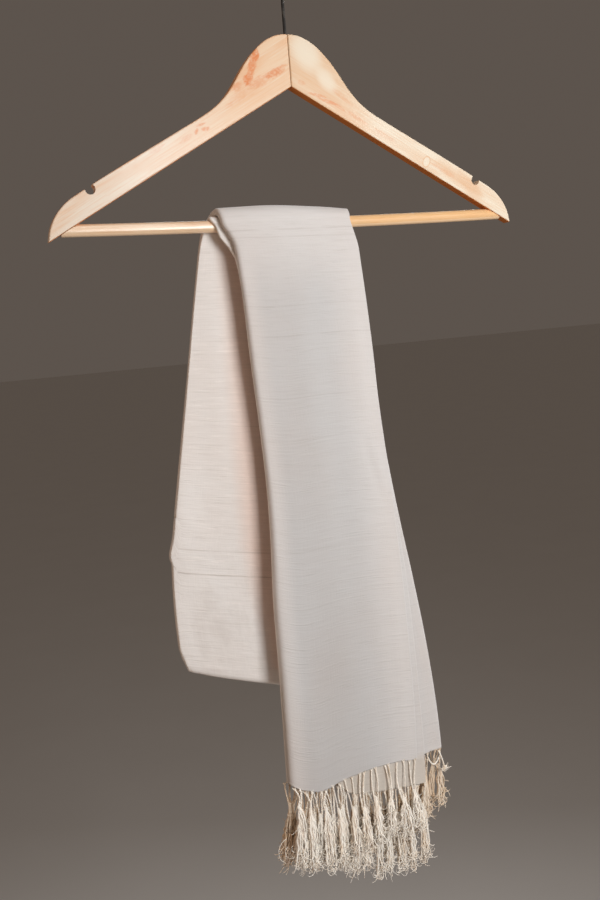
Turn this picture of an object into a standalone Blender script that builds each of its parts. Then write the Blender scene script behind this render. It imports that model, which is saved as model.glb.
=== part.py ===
"""A fringed silk shawl, folded lengthwise and doubled over the bar of a wooden hanger.

Units are metres with +Z up. The origin is the inside top of the hanger's hook, where it rests
on its rail. The bar runs along X, and the fringed ends hang in front, at -Y.
Tables are in millimetres. Heights in them are measured from the centre of the bar: "drop" grows
downward. Folds of the shawl are named by the order in which they lie, from the front to the bar.
"""

from collections import namedtuple
from math import atan, cos, hypot, pi, radians, sin

import bmesh
import bpy
from mathutils import Matrix, Vector

MM = 0.001
SEAM = 0.3

# Hanger, measured up from the lower apex where its arms meet
HOOK_SEAT_ABOVE_APEX = 115.5
APEX_Z = -HOOK_SEAT_ABOVE_APEX
ARM_THICKNESS = 10.8
ARM_ROUND = 1.0
ARM_RIM_ANGLE = 50.0
ARM_SLOPE = 0.5592
CUT_THROUGH = 3 * ARM_THICKNESS
NOTCH_CENTRE = (184.6, -83.4)
NOTCH_RADIUS = 4.4
NOTCH_MOUTH_LENGTH = 7.0
NOTCH_MOUTH_WIDTH = 8.4
NOTCH_LEAN = 62.0

BAR_BELOW_APEX = 116.0
BAR_Z = APEX_Z - BAR_BELOW_APEX
BAR_RADIUS = 5.2
BAR_SAG = 1.8
BAR_END_LIFT = 0.8
BAR_STATIONS = 12
BAR_SIDES = 20
BAR_CUT_AT = 205.0
BAR_CUT_SIZE = (90.0, 40.0, 30.0)
TENON_RADIUS = 3.2
TENON_END = 212.5
TENON_ROOT = 196.0
TENON_SIDES = 16
BAR_END = TENON_END - 1.0
SOCKET_RADIUS = TENON_RADIUS + SEAM
SOCKET_START = TENON_ROOT - 10.0
SOCKET_END = TENON_END + SEAM
SOCKET_SIDES = 20

WIRE_RADIUS = 1.5
SHANK_FOOT = 20.0
SHANK_TOP = 70.7
HOOK_SOCKET_TOP = 60.0
NECK_RADIUS = 13.2
LOOP_RADIUS = 18.0
LOOP_START = -65.0
LOOP_END = 205.0
NECK_STEPS = 5
HOOK_STEPS = 20
LOOP_HEIGHT = HOOK_SEAT_ABOVE_APEX + WIRE_RADIUS - LOOP_RADIUS

# Outline of one arm, from the head down to the tip, in millimetres from the lower apex
ArmPoint = namedtuple("ArmPoint", "across height")
ARM_TOP = tuple(ArmPoint(*row) for row in (
    (0.15, 43.7), (9.0, 42.9), (17.5, 39.8), (24.0, 36.0), (30.0, 31.0), (36.0, 25.0),
    (42.0, 17.8), (48.0, 9.5), (54.0, 0.6), (60.0, -7.0), (67.0, -14.0), (76.0, -20.8),
    (90.0, -29.0), (110.0, -39.8), (150.0, -61.4), (179.0, -77.4), (192.0, -85.0),
    (200.0, -89.6), (206.0, -94.0), (211.0, -98.9), (215.4, -104.6), (218.6, -110.4),
    (221.0, -117.0), (222.5, -124.4),
))

# Shawl
WALL = 1.0
HALF_WALL = WALL / 2
PLY_STEP = 1.42
SHAWL_TOP_DROP = 14.0
CREST_FOOT_DROP = SHAWL_TOP_DROP - SEAM
CREST_AXIS_DROP = 1.0
CREST_LEG_RATE = 1 - CREST_AXIS_DROP / CREST_FOOT_DROP
SHEET_ROWS = 16
FOLD_STEPS = 10
RETURN_STEPS = 7
INNER_STEPS = 8
LOOP_STEPS = 6
FRONT_STACK_STEPS = 7
STACK_STEPS = 9
RIGHT_TAPER = 2.7
FACE_BOW = 2.6
BOW_START = 20.0
BOW_RUN = 120.0
SECOND_REACH = 0.08
THIRD_REACH = 0.4

# Left and right limits of the folds that show in front, the radius of the loop that joins the
# first fold to the fourth, and how far forward of the bar's axis the first fold hangs
FrontRow = namedtuple(
    "FrontRow", "drop left left_inner right_first right_second right_third loop face")
FRONT_ROWS = tuple(FrontRow(*row) for row in (
    (1, -78.2, -82.0, 43.2, 42.6, 42.0, 3.6, 16.8),
    (14, -71.2, -75.3, 47.2, 46.6, 46.0, 3.6, 16.8),
    (26, -68.4, -68.6, 49.8, 49.1, 48.5, 3.6, 16.85),
    (40, -66.6, -65.0, 51.3, 50.6, 50.0, 3.6, 16.9),
    (68, -64.6, -62.8, 53.7, 53.0, 52.4, 3.7, 17.0),
    (114, -62.8, -61.3, 56.9, 56.3, 55.7, 3.8, 17.2),
    (168, -60.2, -58.7, 59.5, 59.2, 59.2, 3.9, 17.5),
    (232, -58.0, -56.5, 64.6, 65.8, 67.2, 4.1, 17.9),
    (284, -58.6, -57.1, 68.3, 71.4, 75.0, 4.4, 18.2),
    (345, -61.2, -59.7, 71.8, 77.0, 85.4, 4.8, 18.6),
    (413, -61.6, -60.1, 74.0, 80.6, 95.6, 5.2, 19.0),
    (480, -62.5, -61.0, 75.2, 83.0, 103.0, 5.6, 19.3),
    (534, -63.4, -61.9, 74.0, 84.0, 106.4, 6.0, 19.5),
    (565, -63.4, -61.9, 73.6, 82.8, 106.4, 6.0, 19.6),
))

# How low each fringed edge hangs, from left to right
HemPoint = namedtuple("HemPoint", "across drop")
HEM_FIRST = tuple(HemPoint(*row) for row in (
    (-66, 518), (-54, 527), (-38, 534), (-26, 534), (-10, 530), (8, 527), (40, 527), (75, 533)))
HEM_SECOND = tuple(HemPoint(*row) for row in (
    (-60, 527), (-18, 530), (-4, 545), (40, 555), (85, 562)))
HEM_THIRD = tuple(HemPoint(*row) for row in (
    (-60, 526), (-16, 530), (30, 541), (85, 532), (108, 530)))
HEM_INNER = tuple(HemPoint(*row) for row in (
    (-62, 525), (0, 536), (50, 541), (100, 532)))

# Edges and faces of the back fall, and the slanting fold that closes it below
BackRow = namedtuple("BackRow", "drop left right face rear")
BACK_ROWS = tuple(BackRow(*row) for row in (
    (1, -85.5, 45.0, 5.6, 14.2),
    (14, -91.0, 45.4, 5.7, 14.3),
    (34, -96.0, 44.0, 5.9, 14.6),
    (70, -103.7, 37.0, 6.2, 15.2),
    (122, -113.6, 26.0, 6.6, 16.0),
    (175, -124.0, 15.5, 7.0, 16.8),
    (228, -134.5, 6.5, 7.3, 17.4),
    (282, -144.4, -2.0, 7.6, 18.0),
    (309, -147.0, -5.0, 7.7, 18.3),
    (345, -148.2, -7.0, 7.8, 18.6),
    (381, -147.8, -8.0, 7.9, 18.8),
    (470, -147.6, -8.0, 8.0, 19.0),
))
BACK_FOLD = tuple(HemPoint(*row) for row in (
    (-149, 373), (-147.2, 380), (-145.3, 389), (-143.4, 397), (-140.5, 401), (-136, 402.8),
    (-131, 404.5), (-117, 410.5), (-90, 420.8), (-55, 433.5), (-35, 441), (-20, 444),
    (-12, 441), (-8, 434)))
BACK_PARTS = (*(i / 14 for i in range(14)), 0.955, 0.98, 0.993, 1.0)
BACK_CLOSING = 0.94
BACK_PINCH = 0.92

# The crest over the bar: its height above the bar's axis from left to right, and its edges at
# each turn round the bar (0 faces front, 90 is the top, 180 the back)
CrestPoint = namedtuple("CrestPoint", "across girth")
CREST_TOP = tuple(CrestPoint(*row) for row in (
    (-90, 13.8), (-82, 15.2), (-66, 16.3), (-50, 16.8), (-36, 16.8), (-6, 16.1), (20, 14.1),
    (35, 12.6), (44, 11.7), (52, 11.2)))
CrestEdge = namedtuple("CrestEdge", "turn left left_inner right")
CREST_EDGES = tuple(CrestEdge(*row) for row in (
    (-13.7, -71.2, -75.3, 47.2), (0, -78.2, -82.0, 43.2), (45, -79.4, -85.4, 44.4),
    (90, -80.2, -85.4, 45.8), (135, -82.1, -83.8, 45.2), (180, -85.5, -86.5, 45.0),
    (193.7, -91.0, -91.2, 45.4)))
CREST_INNER_GIRTH = 8.8
CREST_REST = BAR_RADIUS + SEAM
CREST_BACK_GIRTH = 14.3
CREST_STEP = 15

# Outline of a stack of folds at its edge: how far in from the edge, and how far through it
EdgePoint = namedtuple("EdgePoint", "inset through")
LAYERED_EDGE = tuple(EdgePoint(*row) for row in (
    (2.4, 0.0), (0.4, 0.06), (0.0, 0.22), (0.7, 0.42), (3.2, 0.5),
    (1.2, 0.58), (0.6, 0.78), (1.2, 0.94), (3.4, 1.0)))

# Fringe: tassels at even steps along each fringed edge, from a strip just below it
STRIP_HEIGHT = 2.6
TASSEL_PITCH = 9.9
TASSEL_SIDES = 4
ROOT_DEPTH = 1.6
FRINGE_MIDDLE = -13.5
LEAN_FIRST, LEAN_SECOND, LEAN_THIRD, LEAN_INNER = -7.0, -1.0, 3.0, 6.0
UNEVEN_LENGTH, UNEVEN_LEAN, UNEVEN_STEP = 0.05, 0.9, 2.3
TasselRing = namedtuple("TasselRing", "part radius")
TASSEL_RINGS = tuple(TasselRing(*row) for row in (
    (0.0, 0.6), (0.38, 0.75), (0.56, 1.9), (0.82, 2.2), (1.0, 1.4)))
TasselLean = namedtuple("TasselLean", "across lean length")
TASSEL_LEANS = tuple(TasselLean(*row) for row in (
    (-68, -10, 80), (-56, -7, 80), (-40, -3, 79), (-10, -1, 84), (20, 0, 90), (50, 0, 90),
    (75, -1, 84), (90, -4, 78), (108, -8, 70)))


def paint(name, colour, roughness, metallic=0.0):
    material = bpy.data.materials.new(name)
    material.use_nodes = True
    shader = material.node_tree.nodes["Principled BSDF"]
    shader.inputs["Base Color"].default_value = (*colour, 1.0)
    shader.inputs["Roughness"].default_value = roughness
    shader.inputs["Metallic"].default_value = metallic
    return material


def mix(a, b, part):
    """Value a given part of the way from a to b."""
    return a + (b - a) * part


def eased(rows, key, column, where):
    """Value of a column of a table at a place between its rows, by a Catmull-Rom curve."""
    places = [getattr(row, key) for row in rows]
    values = [getattr(row, column) for row in rows]
    if where <= places[0]:
        return values[0]
    if where >= places[-1]:
        return values[-1]
    i = max(n for n, place in enumerate(places) if place <= where)
    before, after = max(i - 1, 0), min(i + 2, len(rows) - 1)
    span = places[i + 1] - places[i]
    slope_in = (values[i + 1] - values[before]) / (places[i + 1] - places[before])
    slope_out = (values[after] - values[i]) / (places[after] - places[i])
    t = (where - places[i]) / span
    return (
        values[i] * (2 * t**3 - 3 * t**2 + 1)
        + slope_in * span * (t**3 - 2 * t**2 + t)
        + values[i + 1] * (3 * t**2 - 2 * t**3)
        + slope_out * span * (t**3 - t**2)
    )


def front(column, drop):
    """Value of a column of the front table at a drop."""
    return eased(FRONT_ROWS, "drop", column, drop)


def hem(table, across):
    """Drop of an edge at a place across."""
    return eased(table, "across", "drop", across)


def place(across, depth, drop):
    """Point in metres from millimetres across, toward the back, and below the bar."""
    return Vector((across, depth, BAR_Z - drop)) * MM


def new_object(name, mesh, material):
    part = bpy.data.objects.new(name, mesh)
    bpy.data.collections["hung_shawl"].objects.link(part)
    mesh.materials.clear()
    mesh.materials.append(material)
    return part


def object_from_bmesh(name, shape, material):
    bmesh.ops.recalc_face_normals(shape, faces=shape.faces)
    mesh = bpy.data.meshes.new(name)
    shape.to_mesh(mesh)
    shape.free()
    return new_object(name, mesh, material)


def thick_sheet(name, grid, material):
    """Sheet on rows of points, thickened about its middle."""
    rows, columns = len(grid), len(grid[0])
    shape = bmesh.new()
    bmesh.ops.create_grid(shape, x_segments=columns - 1, y_segments=rows - 1, size=1.0)
    shape.verts.ensure_lookup_table()
    for i, row in enumerate(grid):
        for j, point in enumerate(row):
            shape.verts[i * columns + j].co = point
    part = object_from_bmesh(name, shape, material)
    solidify = part.modifiers.new("wall", "SOLIDIFY")
    solidify.thickness = WALL * MM
    solidify.offset = 0.0
    return part


def skin(shape, rings):
    """Adds a closed tube through rings of equal count. Returns the faces at its ends."""
    loops = [[shape.verts.new(point) for point in ring] for ring in rings]
    count = len(rings[0])
    for upper, lower in zip(loops, loops[1:]):
        for j in range(count):
            k = (j + 1) % count
            shape.faces.new((upper[j], upper[k], lower[k], lower[j]))
    return [shape.faces.new(loops[0]), shape.faces.new(loops[-1])]


def loft(name, rings, material):
    """Closed solid through rings of equal count, with flat ends."""
    shape = bmesh.new()
    bmesh.ops.triangulate(shape, faces=skin(shape, rings))
    return object_from_bmesh(name, shape, material)


def cutter(name, shape):
    bmesh.ops.recalc_face_normals(shape, faces=shape.faces)
    mesh = bpy.data.meshes.new(name)
    shape.to_mesh(mesh)
    shape.free()
    tool = bpy.data.objects.new(name, mesh)
    bpy.data.collections["cutters"].objects.link(tool)
    tool.hide_render = True
    tool.display_type = "WIRE"
    return tool


def boolean(part, tool, operation):
    modifier = part.modifiers.new(tool.name, "BOOLEAN")
    modifier.operation = operation
    modifier.solver = "EXACT"
    modifier.object = tool


def rod_cutter(name, radius, length, segments, matrix):
    shape = bmesh.new()
    bmesh.ops.create_cone(
        shape, cap_ends=True, segments=segments, radius1=radius * MM, radius2=radius * MM,
        depth=length * MM, matrix=matrix)
    return cutter(name, shape)


def box_cutter(name, size, matrix):
    shape = bmesh.new()
    bmesh.ops.create_cube(shape, size=1.0)
    bmesh.ops.scale(shape, verts=shape.verts, vec=Vector(size) * MM)
    bmesh.ops.transform(shape, verts=shape.verts, matrix=matrix)
    return cutter(name, shape)


def bar_height(across):
    """Height of the bar's centre line, which sags a little under the shawl."""
    return BAR_Z + BAR_END_LIFT - BAR_SAG * (1 - (across / TENON_END) ** 2)


def arm_outline(side):
    """Front outline of an arm: its upper edge, then back along the straight lower edge."""
    upper = [ARM_TOP[0]]
    for a, b in zip(ARM_TOP, ARM_TOP[1:]):
        middle = (a.across + b.across) / 2
        if b.across - a.across < 15.0 and b is not ARM_TOP[-1]:
            upper.append(ArmPoint(middle, eased(ARM_TOP, "across", "height", middle)))
        upper.append(b)
    apex = ArmPoint(SEAM / 2, -ARM_SLOPE * SEAM / 2)
    return [
        Vector((side * point.across, -ARM_THICKNESS / 2, APEX_Z + point.height)) * MM
        for point in [*upper, apex]
    ]


def hanger_arm(name, side, material):
    """One half of the hanger: a plate with softened rims, a strap notch and two sockets."""
    shape = bmesh.new()
    face = shape.faces.new([shape.verts.new(point) for point in arm_outline(side)])
    grown = bmesh.ops.extrude_face_region(shape, geom=[face])
    moved = [item for item in grown["geom"] if isinstance(item, bmesh.types.BMVert)]
    bmesh.ops.translate(shape, verts=moved, vec=(0, ARM_THICKNESS * MM, 0))
    arm = object_from_bmesh(name, shape, material)
    rims = arm.modifiers.new("rims", "BEVEL")
    rims.width = ARM_ROUND * MM
    rims.segments = 2
    rims.limit_method = "ANGLE"
    rims.angle_limit = radians(ARM_RIM_ANGLE)
    across, height = NOTCH_CENTRE
    centre = Vector((side * across, 0, APEX_Z + height)) * MM
    flat = Matrix.Rotation(radians(90), 4, "X")
    boolean(arm, rod_cutter(
        f"notch_round_{name}", NOTCH_RADIUS, CUT_THROUGH, TENON_SIDES,
        Matrix.Translation(centre) @ flat), "DIFFERENCE")
    lean = Matrix.Rotation(side * radians(90 - NOTCH_LEAN), 4, "Y")
    half_out = Matrix.Translation((0, 0, NOTCH_MOUTH_LENGTH * MM / 2))
    boolean(arm, box_cutter(
        f"notch_mouth_{name}", (NOTCH_MOUTH_WIDTH, CUT_THROUGH, NOTCH_MOUTH_LENGTH),
        Matrix.Translation(centre) @ lean @ half_out), "DIFFERENCE")
    sideways = Matrix.Rotation(radians(90), 4, "Y")
    socket_middle = (side * (SOCKET_START + SOCKET_END) / 2, 0, bar_height(TENON_END))
    boolean(arm, rod_cutter(
        f"bar_socket_{name}", SOCKET_RADIUS, SOCKET_END - SOCKET_START, SOCKET_SIDES,
        Matrix.Translation(Vector(socket_middle) * MM) @ sideways), "DIFFERENCE")
    shank_foot = SHANK_FOOT - SEAM
    shank_middle = (0, 0, APEX_Z + (shank_foot + HOOK_SOCKET_TOP) / 2)
    boolean(arm, rod_cutter(
        f"hook_socket_{name}", WIRE_RADIUS + SEAM, HOOK_SOCKET_TOP - shank_foot, SOCKET_SIDES,
        Matrix.Translation(Vector(shank_middle) * MM)), "DIFFERENCE")
    return arm


def trouser_bar(material):
    """Round bar whose ends are cut to the arms' slope, with a tenon in each arm."""
    rings = []
    for i in range(BAR_STATIONS + 1):
        across = mix(-BAR_END, BAR_END, i / BAR_STATIONS)
        turns = [2 * pi * k / BAR_SIDES for k in range(BAR_SIDES)]
        rings.append([
            Vector((across, BAR_RADIUS * cos(a), bar_height(across) + BAR_RADIUS * sin(a))) * MM
            for a in turns
        ])
    bar = loft("trouser_bar", rings, material)
    for side in (-1, 1):
        slope = Matrix.Rotation(side * atan(ARM_SLOPE), 4, "Y")
        above_edge = Matrix.Translation((0, 0, (BAR_CUT_SIZE[2] / 2 - SEAM) * MM))
        on_edge = Vector((side * BAR_CUT_AT, 0, APEX_Z - ARM_SLOPE * BAR_CUT_AT)) * MM
        boolean(bar, box_cutter(
            f"bar_end_{side}", BAR_CUT_SIZE, Matrix.Translation(on_edge) @ slope @ above_edge),
            "DIFFERENCE")
    for side in (-1, 1):
        middle = Vector((side * (TENON_ROOT + TENON_END) / 2, 0, bar_height(TENON_END))) * MM
        turned = Matrix.Rotation(radians(90), 4, "Y")
        boolean(bar, rod_cutter(
            f"tenon_{side}", TENON_RADIUS, TENON_END - TENON_ROOT, TENON_SIDES,
            Matrix.Translation(middle) @ turned), "UNION")
    return bar


def hook_path():
    """Centre line of the hook: straight shank, a bend to the right and an open loop."""
    points = [(0, SHANK_FOOT), (0, mix(SHANK_FOOT, SHANK_TOP, 0.5)), (0, SHANK_TOP)]
    for i in range(1, NECK_STEPS):
        turn = radians(-LOOP_START * i / NECK_STEPS)
        points.append((NECK_RADIUS * (1 - cos(turn)), SHANK_TOP + NECK_RADIUS * sin(turn)))
    for i in range(HOOK_STEPS + 1):
        turn = radians(mix(LOOP_START, LOOP_END, i / HOOK_STEPS))
        points.append((LOOP_RADIUS * cos(turn), LOOP_HEIGHT + LOOP_RADIUS * sin(turn)))
    return [Vector((x, 0, APEX_Z + z)) * MM for x, z in points]


def hook(material):
    """Wire swept round along the hook's centre line."""
    curve = bpy.data.curves.new("hook_line", "CURVE")
    curve.dimensions = "3D"
    curve.bevel_depth = WIRE_RADIUS * MM
    curve.bevel_resolution = 2
    curve.use_fill_caps = True
    points = hook_path()
    spline = curve.splines.new("POLY")
    spline.points.add(len(points) - 1)
    for target, point in zip(spline.points, points):
        target.co = (*point, 1.0)
    return new_object("hook", curve, material)


def first_start(drop):
    """Where the first fold's front ends and its left loop begins."""
    return front("left", drop) + HALF_WALL + front("loop", drop)


def first_depth(across, drop):
    """Depth of the first fold: bowed forward across its middle, and turned back at the right."""
    right, start = front("right_first", drop), first_start(drop)
    part = (right - across) / (right - start)
    ramp = min(1.0, max(0.0, (drop - BOW_START) / BOW_RUN))
    bow = FACE_BOW * ramp * sin(pi * min(1.0, max(0.0, part))) ** 1.5
    return -front("face", drop) - bow + RIGHT_TAPER * max(0.0, 1 - part) ** 2


def fourth_depth(drop):
    """Depth of the fourth fold, behind the left loop."""
    return first_depth(first_start(drop), drop) + 2 * front("loop", drop)


def third_depth(across, drop):
    """Depth of the third fold, two plies behind the first."""
    return first_depth(across, drop) + 2 * PLY_STEP


def third_loop(drop):
    """Radius of the loop at the right that joins the third fold to the fourth."""
    return (fourth_depth(drop) - third_depth(front("right_third", drop), drop)) / 2


def first_section(drop):
    """The first fold from its right edge to the left loop, and on behind it as the fourth."""
    start, loop = first_start(drop), front("loop", drop)
    right = front("right_first", drop)
    points = []
    for i in range(FOLD_STEPS):
        across = mix(right, start, i / FOLD_STEPS)
        points.append((across, first_depth(across, drop)))
    centre = fourth_depth(drop) - loop
    for i in range(LOOP_STEPS + 1):
        turn = radians(-90 - 180 * i / LOOP_STEPS)
        points.append((start + loop * cos(turn), centre + loop * sin(turn)))
    end = front("right_third", drop) - third_loop(drop) - SEAM
    for i in range(1, RETURN_STEPS + 1):
        points.append((mix(start, end, i / RETURN_STEPS), fourth_depth(drop)))
    return points


def second_section(drop):
    """The second fold, from its selvedge at the right to the inside of the left loop."""
    left = first_start(drop) - SECOND_REACH * front("loop", drop)
    right = front("right_second", drop)
    acrosses = [mix(right, left, i / FOLD_STEPS) for i in range(FOLD_STEPS + 1)]
    return [(across, first_depth(across, drop) + PLY_STEP) for across in acrosses]


def third_section(drop):
    """The third fold from the left to the loop that turns behind it at the right."""
    left = first_start(drop) - THIRD_REACH * front("loop", drop)
    loop = third_loop(drop)
    end = front("right_third", drop) - loop
    acrosses = [mix(left, end, i / FOLD_STEPS) for i in range(FOLD_STEPS + 1)]
    points = [(across, third_depth(across, drop)) for across in acrosses]
    centre = fourth_depth(drop) - loop
    points[-1] = (end, centre - loop)
    for i in range(1, LOOP_STEPS + 1):
        turn = radians(-90 + 180 * i / LOOP_STEPS)
        points.append((end + loop * cos(turn), centre + loop * sin(turn)))
    return points


def front_sheet(name, section, table, material):
    """A fold of the front fall, in rows that follow its hem."""
    grid = []
    for i in range(SHEET_ROWS):
        part = i / (SHEET_ROWS - 1)
        level = section(mix(SHAWL_TOP_DROP, hem(table, 0), part))
        row = []
        for j, (across, _) in enumerate(level):
            drop = mix(SHAWL_TOP_DROP, hem(table, across), part)
            row.append(place(*section(drop)[j], drop))
        grid.append(row)
    return thick_sheet(name, grid, material)


def stack_ring(left, right, count):
    """Ring round a stack of folds, as (across, through), layered at both edges."""
    inset = LAYERED_EDGE[-1].inset
    near_inset = LAYERED_EDGE[0].inset
    ring = [(left + point.inset, point.through) for point in reversed(LAYERED_EDGE)]
    ring += [
        (mix(left + near_inset, right - near_inset, i / count), 0.0) for i in range(1, count)
    ]
    ring += [(right - point.inset, point.through) for point in LAYERED_EDGE]
    ring += [(mix(right - inset, left + inset, i / count), 1.0) for i in range(1, count)]
    return ring


def inner_limits(drop):
    """Left and right limits of the inner folds in front."""
    right = mix(front("right_first", drop), front("right_third", drop), 0.6)
    return front("left_inner", drop), right


def inner_depth(drop, through):
    """Depth of the inner folds, a given part of the way through them."""
    near = fourth_depth(drop) + HALF_WALL + SEAM
    return near + through * (CREST_INNER_GIRTH - CREST_REST)


def inner_section(drop):
    """Middle line of the inner folds, clear of their rounded edges."""
    left, right = inner_limits(drop)
    inset = LAYERED_EDGE[-1].inset
    acrosses = [
        mix(left + inset, right - inset, i / INNER_STEPS) for i in range(INNER_STEPS + 1)]
    return [(across, inner_depth(drop, 0.5)) for across in acrosses]


def front_inner(material):
    """The inner folds, which lie against the bar and hang behind the fourth fold."""
    rings = []
    for i in range(SHEET_ROWS):
        part = i / (SHEET_ROWS - 1)
        middle = mix(SHAWL_TOP_DROP, hem(HEM_INNER, 0), part)
        ring = []
        for across, through in stack_ring(*inner_limits(middle), FRONT_STACK_STEPS):
            drop = mix(SHAWL_TOP_DROP, hem(HEM_INNER, across), part)
            ring.append(place(across, inner_depth(drop, through), drop))
        rings.append(ring)
    return loft("front_inner_folds", rings, material)


def back(column, drop):
    """Value of a column of the back table at a drop."""
    return eased(BACK_ROWS, "drop", column, drop)


def back_fall(material):
    """The doubled shawl behind the bar, closed below by its rounded slanting fold."""
    rings = []
    for part in BACK_PARTS:
        closing = max(0.0, (part - BACK_CLOSING) / (1 - BACK_CLOSING))
        pinch = BACK_PINCH * closing**2
        middle = mix(SHAWL_TOP_DROP, hem(BACK_FOLD, -80), part)
        ring = []
        limits = back("left", middle), back("right", middle)
        for across, through in stack_ring(*limits, STACK_STEPS):
            drop = mix(SHAWL_TOP_DROP, hem(BACK_FOLD, across), part)
            near, far = back("face", drop), back("rear", drop)
            depth = mix(mix(near, far, through), (near + far) / 2, pinch)
            ring.append(place(across, depth, drop))
        rings.append(ring)
    return loft("back_fall", rings, material)


def crest_point(across, girth, turn):
    """Point of the crest: a straight leg in front, a half turn over the bar, a leg behind."""
    if turn <= 0:
        return place(across, -girth, CREST_AXIS_DROP - turn * CREST_LEG_RATE)
    if turn >= 180:
        return place(across, girth, CREST_AXIS_DROP + (turn - 180) * CREST_LEG_RATE)
    angle = radians(turn)
    return place(across, -girth * cos(angle), CREST_AXIS_DROP - girth * sin(angle))


def crest_turns():
    """Turns at which the crest has a ring, with those below 0 and past 180 on its legs."""
    over = [CREST_STEP * i for i in range(180 // CREST_STEP + 1)]
    return [-CREST_FOOT_DROP, -CREST_FOOT_DROP / 2, *over, 180 + CREST_FOOT_DROP / 2,
            180 + CREST_FOOT_DROP]


def crest_outside(across, turn):
    """Girth of the crest's outside, which meets the first fold in front and thins behind."""
    face = HALF_WALL - first_depth(max(across, first_start(SHAWL_TOP_DROP)), SHAWL_TOP_DROP)
    top = eased(CREST_TOP, "across", "girth", across)
    foot = face if turn < 90 else CREST_BACK_GIRTH
    return mix(foot, top, sin(radians(min(180, max(0, turn)))) ** 2)


def inner_crest_outside(across, turn):
    """Girth of the inner folds' outside, even all over."""
    return CREST_INNER_GIRTH


def crest(name, left_column, inside, outside, material):
    """Folds that pass over the bar between two girths, as rings at each turn."""
    rings = []
    for turn in crest_turns():
        left = eased(CREST_EDGES, "turn", left_column, turn)
        right = eased(CREST_EDGES, "turn", "right", turn)
        rings.append([
            crest_point(across, mix(outside(across, turn), inside, through), turn)
            for across, through in stack_ring(left, right, STACK_STEPS)
        ])
    return loft(name, rings, material)


def even_steps(points, pitch):
    """Points at even steps along a polyline, half a step in from its ends."""
    lengths = [hypot(b[0] - a[0], b[1] - a[1]) for a, b in zip(points, points[1:])]
    count = int(sum(lengths) / pitch)
    step = sum(lengths) / count
    found = []
    walked, i = 0.0, 0
    for n in range(count):
        target = (n + 0.5) * step
        while walked + lengths[i] < target:
            walked += lengths[i]
            i += 1
        part = (target - walked) / lengths[i]
        found.append((mix(points[i][0], points[i + 1][0], part),
                      mix(points[i][1], points[i + 1][1], part)))
    return found


def tassel_rings(root, tip):
    """Rings of one tassel: a thin twisted neck, a fuller lock and a blunt tip."""
    rings = []
    for ring in TASSEL_RINGS:
        centre = root.lerp(tip, ring.part)
        turns = [2 * pi * k / TASSEL_SIDES for k in range(TASSEL_SIDES)]
        rings.append([
            centre + Vector((cos(a), sin(a), 0)) * ring.radius * MM for a in turns])
    return rings


def fringe(name, section, table, lean_back, material):
    """Tassels of one fringed edge, fused at their roots into a strip parted from its hem.

    Those in front of FRINGE_MIDDLE lean back by lean_back, and so do all of the inner folds;
    those on the rear of a loop hang straight.
    """
    hem_line = section(hem(table, 0))
    strip = []
    for below in (SEAM, SEAM + STRIP_HEIGHT / 2, SEAM + STRIP_HEIGHT):
        strip.append([place(x, y, hem(table, x) + below) for x, y in hem_line])
    part = thick_sheet(name, strip, material)
    tassels = bmesh.new()
    for n, (across, depth) in enumerate(even_steps(hem_line, TASSEL_PITCH)):
        root_drop = hem(table, across) + SEAM + STRIP_HEIGHT - ROOT_DEPTH
        length = eased(TASSEL_LEANS, "across", "length", across)
        length *= 1 + UNEVEN_LENGTH * sin(UNEVEN_STEP * n)
        lean = eased(TASSEL_LEANS, "across", "lean", across)
        lean += UNEVEN_LEAN * cos(UNEVEN_STEP * n)
        straight = section is not inner_section and depth > FRINGE_MIDDLE
        swing = 0.0 if straight else lean_back
        tip = place(across + lean, depth + swing, root_drop + length)
        skin(tassels, tassel_rings(place(across, depth, root_drop), tip))
    boolean(part, cutter(f"{name}_tassels", tassels), "UNION")
    return part


def build():
    """Builds the hanger and the shawl from an empty scene."""
    for item in list(bpy.data.objects):
        bpy.data.objects.remove(item)
    for name in ("hung_shawl", "cutters"):
        bpy.context.scene.collection.children.link(bpy.data.collections.new(name))
    pine = paint("pine", (0.86, 0.66, 0.44), 0.45)
    bar_wood = paint("bar_pine", (0.80, 0.55, 0.33), 0.4)
    wire = paint("dark_wire", (0.06, 0.055, 0.05), 0.35, 1.0)
    silk = paint("eri_silk", (0.78, 0.72, 0.66), 0.6)
    thread = paint("silk_thread", (0.80, 0.70, 0.55), 0.7)
    hanger_arm("arm_left", -1, pine)
    hanger_arm("arm_right", 1, pine)
    trouser_bar(bar_wood)
    hook(wire)
    crest("crest_inner_folds", "left_inner", CREST_REST, inner_crest_outside, silk)
    crest("crest_outer_folds", "left", CREST_INNER_GIRTH + SEAM, crest_outside, silk)
    front_sheet("front_first_fold", first_section, HEM_FIRST, silk)
    front_sheet("front_second_fold", second_section, HEM_SECOND, silk)
    front_sheet("front_third_fold", third_section, HEM_THIRD, silk)
    front_inner(silk)
    back_fall(silk)
    fringe("fringe_first", first_section, HEM_FIRST, LEAN_FIRST, thread)
    fringe("fringe_second", second_section, HEM_SECOND, LEAN_SECOND, thread)
    fringe("fringe_third", third_section, HEM_THIRD, LEAN_THIRD, thread)
    fringe("fringe_inner", inner_section, HEM_INNER, LEAN_INNER, thread)


build()
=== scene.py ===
"""Looks of a fringed eri silk shawl, folded over the trouser bar of a wooden hanger.

The shawl was folded to a quarter of its width and doubled over the bar, so it runs from the
fringed front edge up over the bar, down behind it, round the fold at the bottom and back up
and over to a second fringed edge that lies nearest the bar. Its silk is made as three long
sheets that follow this run: the first fold with its rounded left loop, the second fold, and
the third fold with its right loop.

Tables and lengths are in millimetres unless a name says otherwise. Places on the shawl are
given as "across", to the right along the bar, "girth", outward from the bar's axis, and
"drop", downward from the bar's centre. In front of the bar girth points to -Y, behind it to +Y.
"""

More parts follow.
